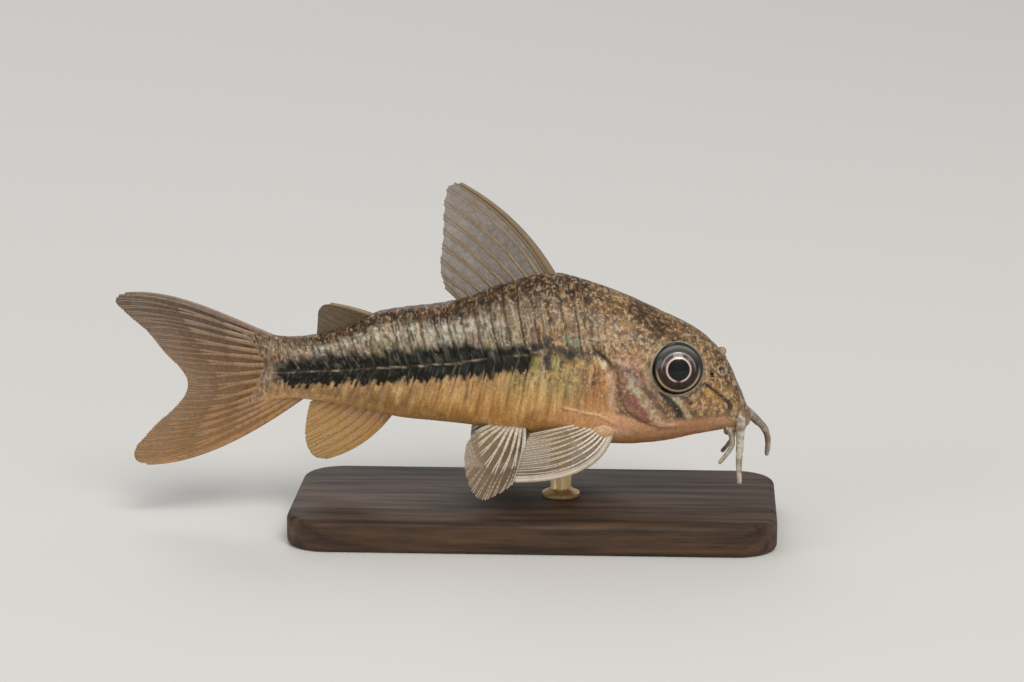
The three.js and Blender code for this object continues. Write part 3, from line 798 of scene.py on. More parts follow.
# Marks on the skin: colour, strength, half width, how broken it is, and the line it follows
HEAD_MARKS = [
    ("#5f3d2e", 0.8, 0.6, 0.4, [(12.1, 11.7), (11.56, 11.05), (11.0, 10.3), (10.34, 9.5), (9.8, 8.9)]),
    ("#74403a", 0.9, 0.38, 0.25, [(11.3, 10.7), (10.7, 10.0), (10.1, 9.2)]),
    (
        "#a39c7c", 0.85, 0.4, 0.8,
        [(11.38, 12.09), (10.63, 11.42), (9.97, 10.46), (9.31, 9.58), (8.9, 9.1)],
    ),
    ("#b09a78", 0.7, 0.34, 0.5, [(9.3, 9.0), (8.6, 8.75)]),
    ("#563e34", 0.75, 0.35, 0.3, [(10.2, 12.0), (9.3, 10.9), (8.4, 9.5)]),
    ("#14110f", 0.97, 0.36, 0.1, DARK_BAR),
    ("#a8a788", 0.85, 0.24, 0.6, [(7.3, 10.9), (6.52, 10.05), (6.04, 9.23), (5.76, 8.7)]),
    ("#211a15", 0.85, 0.26, 0.2, [(6.15, 10.6), (5.75, 10.2)]),
    ("#2a211b", 0.8, 0.3, 0.2, [(4.75, 11.0), (4.6, 10.85)]),
    ("#58312f", 0.8, 0.36, 0.4, [(12.2, 13.55), (11.86, 13.48), (11.11, 13.2), (10.46, 12.82)]),
    ("#8c8b8e", 0.6, 0.3, 0.5, [(11.6, 12.9), (10.7, 12.3)]),
    ("#6d3c31", 0.6, 0.12, 0.2, [(2.3, 12.0), (1.6, 10.9), (1.15, 9.9)]),
    ("#221910", 0.92, 0.75, 0.55, [(10.94, 18.75), (10.09, 18.3), (9.6, 17.67), (8.84, 17.0)]),
    ("#221910", 0.9, 0.42, 0.45, [(8.93, 16.61), (8.18, 16.32), (7.34, 16.1)]),
    ("#1b1613", 0.95, 0.15, 0.0, CHEEK_LINE), ("#1b1613", 0.95, 0.21, 0.0, CHEEK_LINE[3:]),
]
SHOULDER_MARKS = [
    ("#1d1e1b", 0.9, 0.4, 0.3, [(20.6, 15.5), (19.3, 15.4)]),
    ("#171815", 0.95, 0.42, 0.15, [(19.25, 16.2), (19.07, 14.8), (19.0, 13.5)]),
    ("#26261f", 0.88, 0.3, 0.3, [(18.7, 15.2), (17.5, 15.2)]),
    ("#23231d", 0.94, 0.62, 0.4, [(17.1, 14.7), (16.1, 15.2)]),
    ("#34342b", 0.8, 0.5, 0.5, [(16.1, 15.0), (15.2, 14.5)]),
    # A painted green highlight high on the shoulder
    ("#76816a", 0.65, 0.42, 0.5, [(17.3, 16.2), (16.2, 15.9)]),
    ("#a5994f", 0.7, 0.3, 0.4, [(20.1, 14.3), (20.4, 13.3)]),
    ("#a5994f", 0.75, 0.3, 0.3, [(18.35, 14.3), (18.25, 13.0)]),
    ("#171412", 0.97, 0.22, 0.05, SHOULDER_LINE[1:]),
    ("#cfc7ac", 0.95, 0.36, 0.1, [(13.92, 13.98), (13.82, 13.82)]),
    ("#b8927c", 0.7, 0.45, 0.2, [(13.25, 13.1), (13.05, 11.6), (12.95, 10.1)]),
    ("#dcc0a0", 0.6, 0.08, 0.2, CORACOID_LINE),
]


def lay_marks(colour, skin, marks, seed):
    """Marks drawn along lines on the skin, with ragged edges, and how far they cover it."""
    ragged = noise(skin["points"], 0.45, seed) - 0.5
    broken = noise(skin["points"], 0.32, seed + 1)
    covered = np.zeros_like(skin["behind"])
    for paint, strength, width, breakup, line in marks:
        distance = line_distance(skin, line) + 0.5 * width * ragged
        cover = strength * fall(distance, 0.55 * width, 1.35 * width)
        cover = cover * (1 - breakup * ramp(broken, 0.48, 0.62))
        colour = mix(colour, paint, cover)
        covered = np.maximum(covered, cover)
    return colour, covered


# The dark stripe: distances behind the snout, and the heights of its top, pale line and bottom
STRIPE_PLACES = [16.5, 19.8, 21.7, 25.5, 27.4, 30.2, 33.1, 36.0, 37.9, 40.8, 42.8, 44.7]
STRIPE_TOP = [15.75, 15.6, 15.45, 15.35, 15.3, 15.1, 14.75, 14.4, 14.2, 13.7, 13.3, 12.9]
STRIPE_LINE = [15.5, 15.0, 14.57, 14.05, 13.69, 13.37, 13.04, 12.75, 12.51, 12.27, 12.08, 11.85]
STRIPE_BOTTOM = [14.3, 13.3, 13.0, 12.56, 12.28, 11.95, 11.7, 11.44, 11.34, 11.08, 10.88, 10.76]
TEETH_PER_PLATE = 1.5


def stripe_edges(behind):
    """The heights of the dark stripe's top, its pale line and its bottom."""
    heights = (STRIPE_TOP, STRIPE_LINE, STRIPE_BOTTOM)
    return [np.interp(behind, STRIPE_PLACES, values) for values in heights]


def paint_upper(skin, looks):
    """Silver plates under a brown back, and gold-brown ones behind the head, with a band of painted
    glints high up and painted shade in the grooves between plates.
    """
    behind, level, along = skin["behind"], skin["level"], looks["along"]
    patch, tint, streak, fine = (looks[key] for key in ("patch", "tint", "streak", "fine"))
    gold = fall(behind + 4 * (patch - 0.5), 18.5, 24)
    # Where a band of painted glints runs high on the plates, below the brown back
    crest = bell(level, 0.82, 0.09) * ramp(fine, 0.45, 0.75) * ramp(behind, 20, 25)
    tail = ramp(behind, 40, 45)
    back = ramp(level + 0.06 * (patch - 0.5), 0.84, 0.92) * (1 - 0.6 * tail)
    # Painted shade in the grooves between plates, with dark lines half way along each plate
    half_way = 0.55 * bell(along, 0.42 + 0.2 * looks["own"], 0.06)
    dark = np.maximum(bell(looks["groove"], 0, 0.07), half_way) * fall(level, 0.9, 1.0)
    return lay(
        plain("#716751", behind),
        ("#646858", 1.2 * ramp(patch, 0.42, 0.7)),
        ("#7a6660", 0.8 * ramp(tint, 0.55, 0.75)),
        ("#a39d87", 0.45 * ramp(streak, 0.6, 0.85)),
        ("#6d5233", 0.85 * gold),
        ("#a99370", 0.55 * gold * ramp(streak, 0.55, 0.8)),
        # Painted glints along the band high on the plates
        ("#bfc0b4", 0.6 * crest),
        ("#7c624a", 0.75 * tail),
        ("#3a2a1a", back),
        ("#1e1610", 0.8 * back * ramp(tint, 0.45, 0.6)),
        ("#7c5022", 0.5 * back * ramp(fine, 0.62, 0.75)),
        # Painted shade in the plate grooves, and the dark lines half way along the plates
        ("#2a2118", (0.75 - 0.25 * ramp(behind, 26, 36)) * dark),
    )


def paint_lower(skin, looks):
    """Tan and orange plates below the stripe, with painted shade in the grooves between them."""
    behind, level = skin["behind"], skin["level"]
    patch, tint, streak = (looks[key] for key in ("patch", "tint", "streak"))
    low = fall(level, 0.12, 0.4) * fall(behind, 25, 35)
    green = bell(behind, 21, 3.6) * bell(level, 0.4, 0.14)
    return lay(
        plain("#ad8249", behind),
        ("#957346", ramp(behind, 25, 38)),
        ("#bb8341", 0.8 * low),
        ("#85803f", 0.6 * green * ramp(patch, 0.3, 0.6)),
        ("#96694a", 0.5 * ramp(tint, 0.55, 0.75)),
        ("#c8a56c", 0.6 * ramp(streak, 0.58, 0.85)),
        ("#73521f", 0.4 * ramp(streak, 0.4, 0.15)),
        # Painted shade in the grooves between the lower plates
        ("#5f4224", 0.35 * bell(looks["groove"], 0, 0.06) * ramp(level, 0.05, 0.2)),
        ("#cfa066", 0.6 * fall(level, 0.03, 0.16)),
    )


def paint_stripe(colour, skin, looks):
    """A dark toothed stripe with a thin broken pale line, and how far it covers the skin."""
    behind, height = skin["behind"], skin["height"]
    along, streak, fine, own = (looks[key] for key in ("along", "streak", "fine", "own"))
    top, line, bottom = stripe_edges(behind)
    tooth = np.abs(2 * ((TEETH_PER_PLATE * along + 0.12 * (own - 0.5)) % 1) - 1)
    low = bottom - 0.35 + 0.7 * tooth + 0.5 * (own - 0.5) + 0.5 * (fine - 0.5)
    high = top + 0.5 * (own - 0.5) + 0.8 * (streak - 0.5)
    cover = ramp(height, low - 0.1, low + 0.1) * fall(height, high - 0.4, high + 0.3)
    ends = behind + 0.8 * (looks["patch"] - 0.5) + 0.5 * (fine - 0.5)
    cover = cover * ramp(ends, 19.9, 20.4) * fall(ends, 44.6, 45.9)
    pale = ramp(streak, 0.66, 0.86) * ramp(height, line, line + 0.4)
    dark = mix(plain("#131413", behind), "#232623", 1.1 * ramp(fine, 0.45, 0.8))
    colour = blend(colour, mix(dark, "#4b4c46", 0.75 * pale), 0.98 * cover)
    dashes = ramp(looks["dash"], 0.38, 0.6) * (0.3 + 0.7 * ramp(along, 0.3, 0.7))
    thread = bell(height, line, 0.06) * (0.15 + 0.85 * dashes) * ramp(behind, 17.5, 19.5)
    return mix(colour, "#b09c86", 0.85 * thread), cover


def paint_flank(skin):
    """The plates of both rows, and the stripe between them."""
    number, along = plate_phase(skin["row"])
    along = np.where(skin["row"] < BODY_LENGTH, along, 0.5)
    flat = skin["flat"][..., :2]
    row = np.stack([number, np.where(skin["share"] < 0.5, 0, 1)], axis=-1).astype(int)
    looks = {
        "along": along,
        "groove": np.minimum(along, 1 - along),
        "own": lattice(row, 11),
        "streak": noise(flat * np.array([1, 0.16]), 0.33, 3),
        "patch": rough_noise(flat, 2.2, 5),
        "tint": rough_noise(flat, 1.1, 6),
        "fine": noise(flat * np.array([1, 0.5]), 0.32, 8),
        "dash": noise(flat[..., :1], 0.5, 17),
    }
    bottom = stripe_edges(skin["behind"])[2]
    below = fall(skin["height"], bottom - 0.2, bottom + 0.6)
    return paint_stripe(blend(paint_upper(skin, looks), paint_lower(skin, looks), below), skin, looks)


def paint_shoulder(colour, skin):
    """Yellow-green and orange behind the gill cover, and how far marks cover the skin."""
    behind, height = skin["behind"], skin["height"]
    patch = rough_noise(skin["points"], 1.3, 21)
    fine = noise(skin["points"], 0.4, 22)
    yellow = bell(behind, 16.8, 2.2) * bell(height, 12.6, 1.7)
    warm = bell(behind, 14.7, 1.1) * bell(height, 11.9, 1.7)
    edge = np.interp(behind, [12, 14, 17, 21], [9.4, 9.6, 9.9, 8.9])
    smooth = fall(height, edge - 0.5, edge + 0.2)
    colour = lay(
        colour,
        ("#7d7040", 0.8 * yellow),
        ("#a39450", 0.7 * yellow * ramp(fine, 0.5, 0.7)),
        ("#95592f", 0.95 * warm * ramp(patch, 0.2, 0.45)),
        ("#b78455", 0.85 * smooth * fall(behind, 17, 22)),
    )
    return lay_marks(colour, skin, SHOULDER_MARKS, 23)


def paint_mottles(skin):
    """Mottled brown, cream and gold on the top and sides of the head."""
    behind, height, points = skin["behind"], skin["height"], skin["points"]
    patch = rough_noise(points, 1.6, 31)
    spots = rough_noise(points, 0.7, 37)
    worms = np.abs(2 * rough_noise(points * np.array([1, 1, 0.8]), 0.75, 39) - 1)
    snout = fall(behind, 2.5, 5.5)
    nape = ramp(behind, 8.5, 11) * ramp(height, 13.5, 15)
    return lay(
        plain("#6b5035", behind),
        ("#80602f", 1.1 * ramp(patch, 0.42, 0.7)),
        ("#675439", 0.85 * snout),
        ("#33251a", 0.65 * ramp(spots, 0.53, 0.66)),
        ("#97794f", 0.6 * ramp(-spots, -0.42, -0.3)),
        ("#a18667", 0.7 * nape * fall(worms, 0.08, 0.2)),
        ("#98735b", 0.85 * bell(behind, 11.4, 1.8) * bell(height, 14.2, 1.3)),
    )


def paint_gill(colour, skin):
    """The gill cover and the cheek, and how far the gill cover's colour reaches."""
    behind, height, inside = skin["behind"], skin["height"], gill_inside(skin)
    gill = ramp(inside, -0.1, 0.3) * ramp(height, 8.2, 8.9) * ramp(behind, 7.6, 9)
    gill = gill * fall(height, 12.8, 14)
    cheek = bell(np.hypot((behind - 4.6) / 2.3, (height - 10.0) / 1.2), 0, 1)
    lobe = bell(np.hypot((behind - 4.4) / 1.25, (height - 9.7) / 0.65), 0, 1)
    gold = bell(line_distance(skin, [(6.6, 10.9), (3.4, 11.0)]), 0, 0.45)
    colour = lay(
        colour,
        ("#855f45", 0.8 * gill),
        ("#a87a5a", 0.7 * gill * fall(height, 8.6, 10.2)),
        ("#a0763a", 0.9 * cheek),
        ("#b4842f", 0.7 * gold),
        ("#795135", 0.85 * lobe),
    )
    return colour, gill


def paint_head(skin):
    """The whole head with its marks and a painted shadow under the eye, and how far marks cover it."""
    colour, gill = paint_gill(paint_mottles(skin), skin)
    under = ramp(EYE["height"] - skin["height"], 0.8, 2)
    colour = lay(
        colour,
        ("#8f7b60", 0.6 * bell(from_eye(skin), 2.95, 0.35)),
        # A painted shadow in a ring just under the eye
        ("#1d1814", 0.95 * bell(from_eye(skin), 2.62, 0.22) * under),
    )
    colour, covered = lay_marks(colour, skin, HEAD_MARKS, 41)
    slit = bell(line_distance(skin, GILL_SLIT), 0, 0.16)
    return mix(colour, "#6d4535", 0.65 * slit), np.maximum(covered, 0.6 * gill)


def paint_throat(colour, skin, wander):
    """Smooth peach skin under the head, with pale veins, and how far it reaches."""
    behind, height = skin["behind"], skin["height"]
    places = [0, 1.5, 2.6, 4.8, 6.7, 8.6, 10, 11.4, 13]
    edge = np.interp(behind, places, [7.3, 7.8, 8.8, 8.7, 8.6, 8.3, 8.5, 9.1, 9.4])
    throat = fall(height + 0.3 * wander, edge - 0.5, edge + 0.25)
    throat = throat * fall(behind, 12.5, 15)
    veins = rough_noise(skin["points"] * np.array([0.5, 1, 1.4]), 0.8, 53)
    colour = lay(
        colour,
        ("#bd8c68", 0.92 * throat),
        ("#cda688", 0.55 * throat * ramp(veins, 0.5, 0.72)),
        ("#d08a45", 0.75 * throat * fall(skin["level"], 0.02, 0.1)),
        ("#b08f6c", 0.8 * bell(behind, 1.4, 1.4) * fall(height, 7.8, 9.0)),
    )
    return colour, throat


def skin_finish(skin, is_head, stripe, marks, smooth, sheath):
    """How speckled, streaked, silvery and glossy the skin is."""
    behind, level, flank = skin["behind"], skin["level"], 1 - is_head
    covered = np.maximum(stripe, marks)
    below = fall(level, 0.3, 0.45) * fall(behind, 41, 46)
    plates = 0.4 + 0.35 * fall(behind, 18, 24) - 0.12 * ramp(level, 0.8, 0.9)
    speck = (plates * flank + is_head) * (1 - 0.85 * below * flank) * (1 - 0.85 * marks)
    return {
        "speck": speck * (1 - smooth) * (1 - 0.97 * stripe) * (1 - 0.3 * sheath),
        "streaks": flank * (0.95 - 0.6 * below) * (1 - 0.7 * covered) * (1 - 0.7 * smooth),
        "sheen": (1 - 0.8 * is_head) * (1 - below) * (1 - stripe),
        "gloss": (1 - 0.85 * stripe) * (1 - 0.6 * ramp(level, 0.45, 0.7)),
    }


def paint_skin(skin):
    """All the skin's colours, and how speckled, streaked, silvery and glossy it is."""
    behind, height, level = skin["behind"], skin["height"], skin["level"]
    flank, stripe = paint_flank(skin)
    flank, flank_marks = paint_shoulder(flank, skin)
    head, head_marks = paint_head(skin)
    wander = 0.8 * (rough_noise(skin["points"], 1.5, 51) - 0.5)
    rim = np.interp(height, [7.9, 10, 13, 14.5, 17, 20], [12.2, 12.75, 12.8, 13.2, 14.2, 15.2])
    is_head = fall(behind + 0.7 * wander, rim - 0.25, rim + 0.35)
    colour, throat = paint_throat(blend(flank, head, is_head), skin, wander)
    crown = ramp(level, 0.66, 0.92) * fall(behind, 20, 30)
    ridge = fall(skin["share"], 0.0, 0.03) * (behind < BODY_LENGTH)
    sheath = ramp(skin["row"], 45.2, 48.0)
    colour = lay(colour, ("#453220", 0.5 * crown), ("#755630", 0.6 * ridge), ("#6d5848", 0.8 * sheath))
    smooth = np.clip(throat + 1 - ramp(level, 0.08, 0.3), 0, 1) * (1 - sheath)
    marks = flank_marks * (1 - is_head) + head_marks * is_head
    return colour, skin_finish(skin, is_head, stripe, marks, smooth, sheath)


def socket_depth(points, sign):
    """How far the skin is pushed in along the eye's axis, to make the socket."""
    middle, forward, outward, up = eye_axes(sign)
    from_middle = points - middle
    across = np.hypot(from_middle @ forward, from_middle @ up) / SOCKET_RADIUS
    facing = (from_middle @ outward) > -1
    return 1.9 * fall(across, 0.88, 1.0) * facing, outward


def with_tips(values):
    """A grid's values as a list, with one more for each end."""
    values = np.asarray(values, float)
    values = values.reshape(values.shape[0], values.shape[1], -1)
    flat = values.reshape(-1, values.shape[-1])
    return np.concatenate([flat, values[0, :1], values[-1, :1]])


def sink_sockets(points, colour, skin):
    """The eyes' sockets and the nostrils' holes, pushed into the skin and darkened with painted shade."""
    for sign in SIDES.values():
        depth, outward = socket_depth(points, sign)
        depth = depth * (skin["sign"] == sign)
        points = points - outward * depth[..., None]
        # Painted shade in the eye's socket, darkest where it is pushed in furthest
        colour = mix(colour, "#15110f", depth / 1.2)
        for behind, height in NOSTRIL_HOLES:
            from_hole = np.linalg.norm(points - skin_at(behind, height, sign), axis=-1)
            inside = fall(from_hole, 0.2, 0.36)
            points = points - normal_at(behind, height, sign) * (HOLE_DEPTH * inside)[..., None]
            # Painted shade inside the nostril's hole
            colour = mix(colour, "#17110e", inside)
    return points, colour


def make_skin(material):
    """One skin from snout to tail, over the head, torso and tail stalk."""
    skin = skin_grid()
    colour, masks = paint_skin(skin)
    points = skin["points"] + grid_normals(skin["points"]) * skin_lift(skin)[..., None]
    points, colour = sink_sockets(points, colour, skin)
    tips = [place(0, BODY[0, 1]), place(BODY_LENGTH + 0.9, SEAM_MIDDLE)]
    vertices, faces = closed_rings(points, tips)
    masks = {key: with_tips(values) for key, values in {**masks, "flat": skin["flat"]}.items()}
    made = make_object("skin", vertices, faces, material, with_tips(colour), masks)
    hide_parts("head", "torso", "tail_stalk")


# The eyeballs, and the skin round them
EYE_RINGS = 90
EYE_AROUND = 96


def make_eye(side, material):
    """An eyeball with its pupil, bright ring and iris."""
    middle, forward, outward, up = eye_axes(SIDES[side])
    tilt = np.linspace(0, math.pi, EYE_RINGS + 2)[1:-1, None]
    turn = np.broadcast_to(full_turn(EYE_AROUND), (EYE_RINGS, EYE_AROUND))
    across = np.sin(tilt) * EYE["radius"]
    flat = (across * np.cos(turn))[..., None] * forward + (across * np.sin(turn))[..., None] * up
    points = middle + flat + (np.cos(tilt) * EYE["thickness"])[..., None] * outward
    radius = np.where(np.cos(tilt) > 0, across, 2 * EYE["radius"])
    colour, sheen = paint_eye(np.broadcast_to(radius, turn.shape), turn)
    tips = [middle + outward * EYE["thickness"], middle - outward * EYE["thickness"]]
    vertices, faces = closed_rings(points, tips, flip=side == "right")
    masks = {"sheen": with_tips(sheen)}
    eye = make_object(f"eyeball_{side}", vertices, faces, material, with_tips(colour), masks)
    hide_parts(f"eye_{side}")


def paint_eye(radius, angle):
    """The eye's colours by distance from its middle and angle, from forward and up over the top, with
    painted highlights over the top and a painted reflection in the pupil.
    """
    ahead, over = np.cos(angle), np.sin(angle)
    spokes = noise(np.stack([ahead * 9, over * 9, radius * 1.5], axis=-1), 1.0, 71)
    clouds = noise(np.stack([radius * ahead, radius * over], axis=-1), 0.5, 73)
    upper = 0.5 + 0.5 * over
    iris = ramp(radius, 1.08, 1.16) * fall(radius, 1.54, 1.66)
    iris_top_highlight = iris * ramp(upper, 0.45, 0.85)
    outer = ramp(radius, 1.56, 1.68)
    silver = bell(radius, 1.58, 0.05) * ramp(upper, 0.35, 0.75)
    lower_rim = bell(radius, 2.02, 0.08) * ramp(1 - upper, 0.35, 0.8)
    ring = bell(radius, 1.12, 0.055) * (1 - 0.95 * bell(angle, 1.5 * math.pi, 0.26))
    colour = lay(
        plain("#030304", radius),
        # A dim bluish painted reflection in the middle of the pupil
        ("#0a0d15", 0.8 * bell(radius, 0, 0.5)),
        ("#20130b", iris),
        ("#3b2617", 0.7 * iris * ramp(spokes, 0.5, 0.9)),
        # A painted highlight over the upper iris, mottled pinkish
        ("#4c3f3c", 0.8 * iris_top_highlight),
        ("#80706c", 0.6 * iris_top_highlight * ramp(clouds, 0.45, 0.75)),
        ("#1c1917", outer),
        # The outer ring painted lighter towards the top, with a painted highlight along its top edge
        ("#3b3c3b", outer * ramp(upper, 0.5, 1.0)),
        ("#7b786c", 0.7 * bell(radius, 2.12, 0.14) * ramp(upper, 0.7, 1.0)),
        ("#a39c97", 0.85 * silver),
        ("#c0a67c", 0.85 * lower_rim),
        ("#efd6cb", ring),
        ("#0f0d0c", ramp(radius, 2.2, 2.32)),
    )
    return colour, 0.5 * ring + 0.5 * silver


def make_eye_rim(side, material):
    """A thin soft ring of skin where the eye meets its socket."""
    sign = SIDES[side]
    middle, forward, outward, up = eye_axes(sign)
    turn = full_turn(EYE_AROUND)
    spokes = in_circle(turn, forward, up)
    flat_ring = middle + spokes * SOCKET_RADIUS
    seats = np.array([skin_at(SNOUT_X - p[0], p[2] - STAND_TOP, sign) for p in flat_ring])
    tall = np.full(EYE_AROUND, 0.1)
    points, faces = rim_tube(seats + outward * 0.02, spokes, outward, 0.15, tall, sign == LEFT)
    # The rim is painted lighter towards its top, a painted highlight, and darker on its side against the
    # eye, painted shade
    upper = np.repeat(0.5 + 0.5 * np.sin(turn), RIM_SIDES)
    rim_shade = np.tile(ramp(-np.cos(full_turn(RIM_SIDES)), -0.2, 0.6), EYE_AROUND)
    paint = lay(plain("#6f6250", upper), ("#8a8170", upper), ("#1b1714", 0.85 * rim_shade))
    make_skin_piece(f"eye_rim_{side}", points, [faces], material, paint, speck=0.05)


# Curves
def curve_through(*points):
    """A smooth curve through points, by distance along it, as in the solids."""
    points = np.array([place(*point) for point in points])
    padded = np.concatenate([[2 * points[0] - points[1]], points, [2 * points[-1] - points[-2]]])
    t = np.linspace(0, 1, 60, endpoint=False)[:, None]
    samples = []
    for k in range(len(points) - 1):
        p0, p1, p2, p3 = padded[k : k + 4]
        d0, d1, d2 = (max(np.linalg.norm(b - a) ** 0.5, SMALL) for a, b in ((p0, p1), (p1, p2), (p2, p3)))
        m1 = ((p1 - p0) / d0 - (p2 - p0) / (d0 + d1) + (p2 - p1) / d1) * d1
        m2 = ((p2 - p1) / d1 - (p3 - p1) / (d1 + d2) + (p3 - p2) / d2) * d1
        a = 2 * p1 - 2 * p2 + m1 + m2
        b = -3 * p1 + 3 * p2 - 2 * m1 - m2
        samples.append(a * t**3 + b * t**2 + m1 * t + p1)
    samples = np.concatenate([*samples, points[-1:]])
    lengths = lengths_along(samples)

    def at(u):
        here = np.asarray(u) * lengths[-1]
        return np.stack([np.interp(here, lengths, samples[:, k]) for k in range(3)], axis=-1)

    return at


def body_line(front, rear, column, sunk):
    """A curve along the back (column 0) or the belly (column 1), a little inside the body."""
    places = np.linspace(front, rear, 5)
    return curve_through(*[(b, body_at(b)[column] + sunk) for b in places])


def tube(path, radii, sides=16, flat=None, normal=None):
    """A closed round or flattened tube along a path, with rounded ends."""
    along = np.gradient(path, axis=0)
    along /= np.linalg.norm(along, axis=1, keepdims=True)
    if normal is None:
        normals = [np.cross(along[0], [0.3, 1, 0.2])]
        for step in along[1:]:
            normals.append(normals[-1] - step * (normals[-1] @ step))
        normal = np.array(normals)
    normal = normal - along * np.sum(normal * along, axis=1, keepdims=True)
    normal = normal / np.maximum(np.linalg.norm(normal, axis=1, keepdims=True), SMALL)
    turn = full_turn(sides)[None, :, None]
    wide = radii[:, None, None]
    deep = wide if flat is None else flat[:, None, None]
    rings = path[:, None] + np.cross(along, normal)[:, None] * np.cos(turn) * wide
    rings = rings + normal[:, None] * np.sin(turn) * deep
    tips = [path[0] - along[0] * radii[0] * 0.5, path[-1] + along[-1] * radii[-1] * 0.5]
    return closed_rings(rings, tips)


# Fins
# Brings the highest point of t squared times 1 - t to 1
TO_PEAK = 6.75


def fan(layout):
    """Where the fin's surface runs: points by ray, from 0 at the root to 1 at the margin."""

    def at(ray, t):
        u = np.clip(np.asarray(ray, float) / (layout["count"] - 1), 0, 1)
        t = np.asarray(t, float)[..., None]
        start, end = layout["root"](u), layout["margin"](u)
        middle = (start + end) / 2 + 2 * layout["bow"](u)
        arc = start * (1 - t) ** 2 + 2 * middle * t * (1 - t) + end * t**2
        return arc + layout["crest"](u) * TO_PEAK * t**2 * (1 - t)

    return at


def web_normals(points):
    """The directions square to a web's grid."""
    normals = np.cross(np.gradient(points, axis=0), np.gradient(points, axis=1))
    return normals / np.maximum(np.linalg.norm(normals, axis=-1, keepdims=True), SMALL)


WEB_STEPS = 8
WEB_ROWS = 48


def web_border(columns, rows):
    """The points along a grid's four edges, in turn."""
    edges = [
        np.arange(columns) * rows,
        (columns - 1) * rows + np.arange(1, rows),
        np.arange(columns - 2, -1, -1) * rows + rows - 1,
        np.arange(rows - 2, 0, -1),
    ]
    return np.concatenate(edges)


def web_mesh(at, layout):
    """A thin closed sheet over the rays, drawn in a little between them at the margin."""
    last_ray = layout["count"] - 1
    rays = np.linspace(0, last_ray, last_ray * WEB_STEPS + 1)
    ray, t = np.meshgrid(rays, np.linspace(0, 1, WEB_ROWS), indexing="ij")
    middle = at(ray, t * (1 - layout["notch"] * np.sin(np.pi * (ray % 1)) ** 2))
    half = web_normals(middle) * between(layout["web"], t)[..., None] / 2
    points = np.concatenate([(middle + half).reshape(-1, 3), (middle - half).reshape(-1, 3)])
    columns, rows = t.shape
    i, j = np.meshgrid(np.arange(columns - 1), np.arange(rows - 1), indexing="ij")
    a, b = i * rows + j, (i + 1) * rows + j
    sheet = np.stack([a, b, b + 1, a + 1], axis=-1).reshape(-1, 4)
    size = columns * rows
    border = web_border(columns, rows)
    after = np.roll(border, -1)
    rim = np.stack([after, border, border + size, after + size], axis=-1)
    return points, [sheet, sheet[:, ::-1] + size, rim], np.tile(ray.ravel(), 2), np.tile(t.ravel(), 2)


# Thickness of a ray's stem, its branches and their branches, against the whole ray
BRANCH_SIZES = (1.0, 0.75, 0.55)


def forked(ray, first, second, apart):
    """A ray that forks once, and a second time where that is asked for."""
    stem, branch, twig = BRANCH_SIZES
    pieces = [(ray, [(0.0, 0.0), (first + 0.02, 0.0)], stem)]
    for side in (-1, 1):
        if second is None:
            pieces.append((ray, [(first, 0.0), (1.0, side * apart)], branch))
            continue
        half_way = 0.6 * side * apart
        pieces.append((ray, [(first, 0.0), (second + 0.02, half_way)], branch))
        for part in (-1, 1):
            tip = half_way + (0.45 * side + 0.34 * part) * apart
            pieces.append((ray, [(second, half_way), (1.0, tip)], twig))
    return pieces


def ray_paths(layout):
    """Each ray's pieces: the ray, its stops from root to margin with their drift, and its size."""
    pieces = []
    whole = [(0.0, 0.0), (1.0, 0.0)]
    for ray in range(layout["count"]):
        inwards = 1 if ray == 0 else -1
        if ray < layout["spines"]:
            pieces.append((ray, whole, 1.0))
            if layout["paired"]:
                pieces.append((ray, [(0.0, 0.3), (1.0, 0.42)], 0.6))
        elif ray in (0, layout["count"] - 1):
            pieces.append((ray, whole, 0.9))
            pieces.append((ray, [(0.05, 0.12 * inwards), (1.0, 0.42 * inwards)], 0.75))
        else:
            pieces.extend(forked(ray, *layout["forks"], layout["apart"]))
    return pieces


JOINT_PITCH = 0.42
TOOTH_PITCH = 0.5
RAY_SIDES = 10


def spread_round(values, sides):
    """A tube's values by ring as values by point, with its two ends."""
    return np.concatenate([np.repeat(values, sides), values[:1], values[-1:]])


def ray_course(at, layout, ray, stops):
    """A ray piece's places along and across the fin, its path, and the fin's normal there."""
    first, last = stops[0][0], stops[-1][0]
    last_ray = layout["count"] - 1
    t = np.linspace(first, last, max(int(70 * (last - first)), 10))
    drift = between((stops[0][1], stops[-1][1]), ((t - first) / (last - first)) ** 0.85)
    wave = noise(np.stack([2.5 * t, ray + 0 * t], axis=-1), 1.0, layout["seed"] + 9) - 0.5
    wave = wave * layout["sway"] * ramp(t, 0, 0.3) * (0 < ray < last_ray)
    here = np.clip(ray + drift + wave, 0, last_ray)
    path = at(here, t)
    beside = at(np.clip(here + 0.05, 0, last_ray), t) - at(np.clip(here - 0.05, 0, last_ray), t)
    return t, here / last_ray, path, np.cross(beside, np.gradient(path, axis=0))


def ray_piece(at, layout, ray, stops, scale):
    """One piece of a ray as a tube, with its joints and its places along and across the fin."""
    t, across, path, normal = ray_course(at, layout, ray, stops)
    length = lengths_along(path)
    start = lattice(np.array([ray, 5]), layout["seed"])
    joint = 0.5 + 0.5 * np.cos(2 * np.pi * (length / JOINT_PITCH + start))
    is_spine = ray < layout["spines"]
    radius = between(layout["spine" if is_spine else "ray"], t**0.7) * scale
    if is_spine:
        teeth = np.abs(2 * ((length / TOOTH_PITCH) % 1) - 1)
        radius = radius * (1 + layout["teeth"] * (teeth - 0.5))
        joint = 0.6 * joint * (t > 0.75)
    else:
        radius = radius * (1 - 0.06 * joint)
    points, faces = tube(path, radius, sides=RAY_SIDES, flat=radius * layout["flat"], normal=normal)
    return points, faces, [spread_round(values, RAY_SIDES) for values in (joint, t, across)]


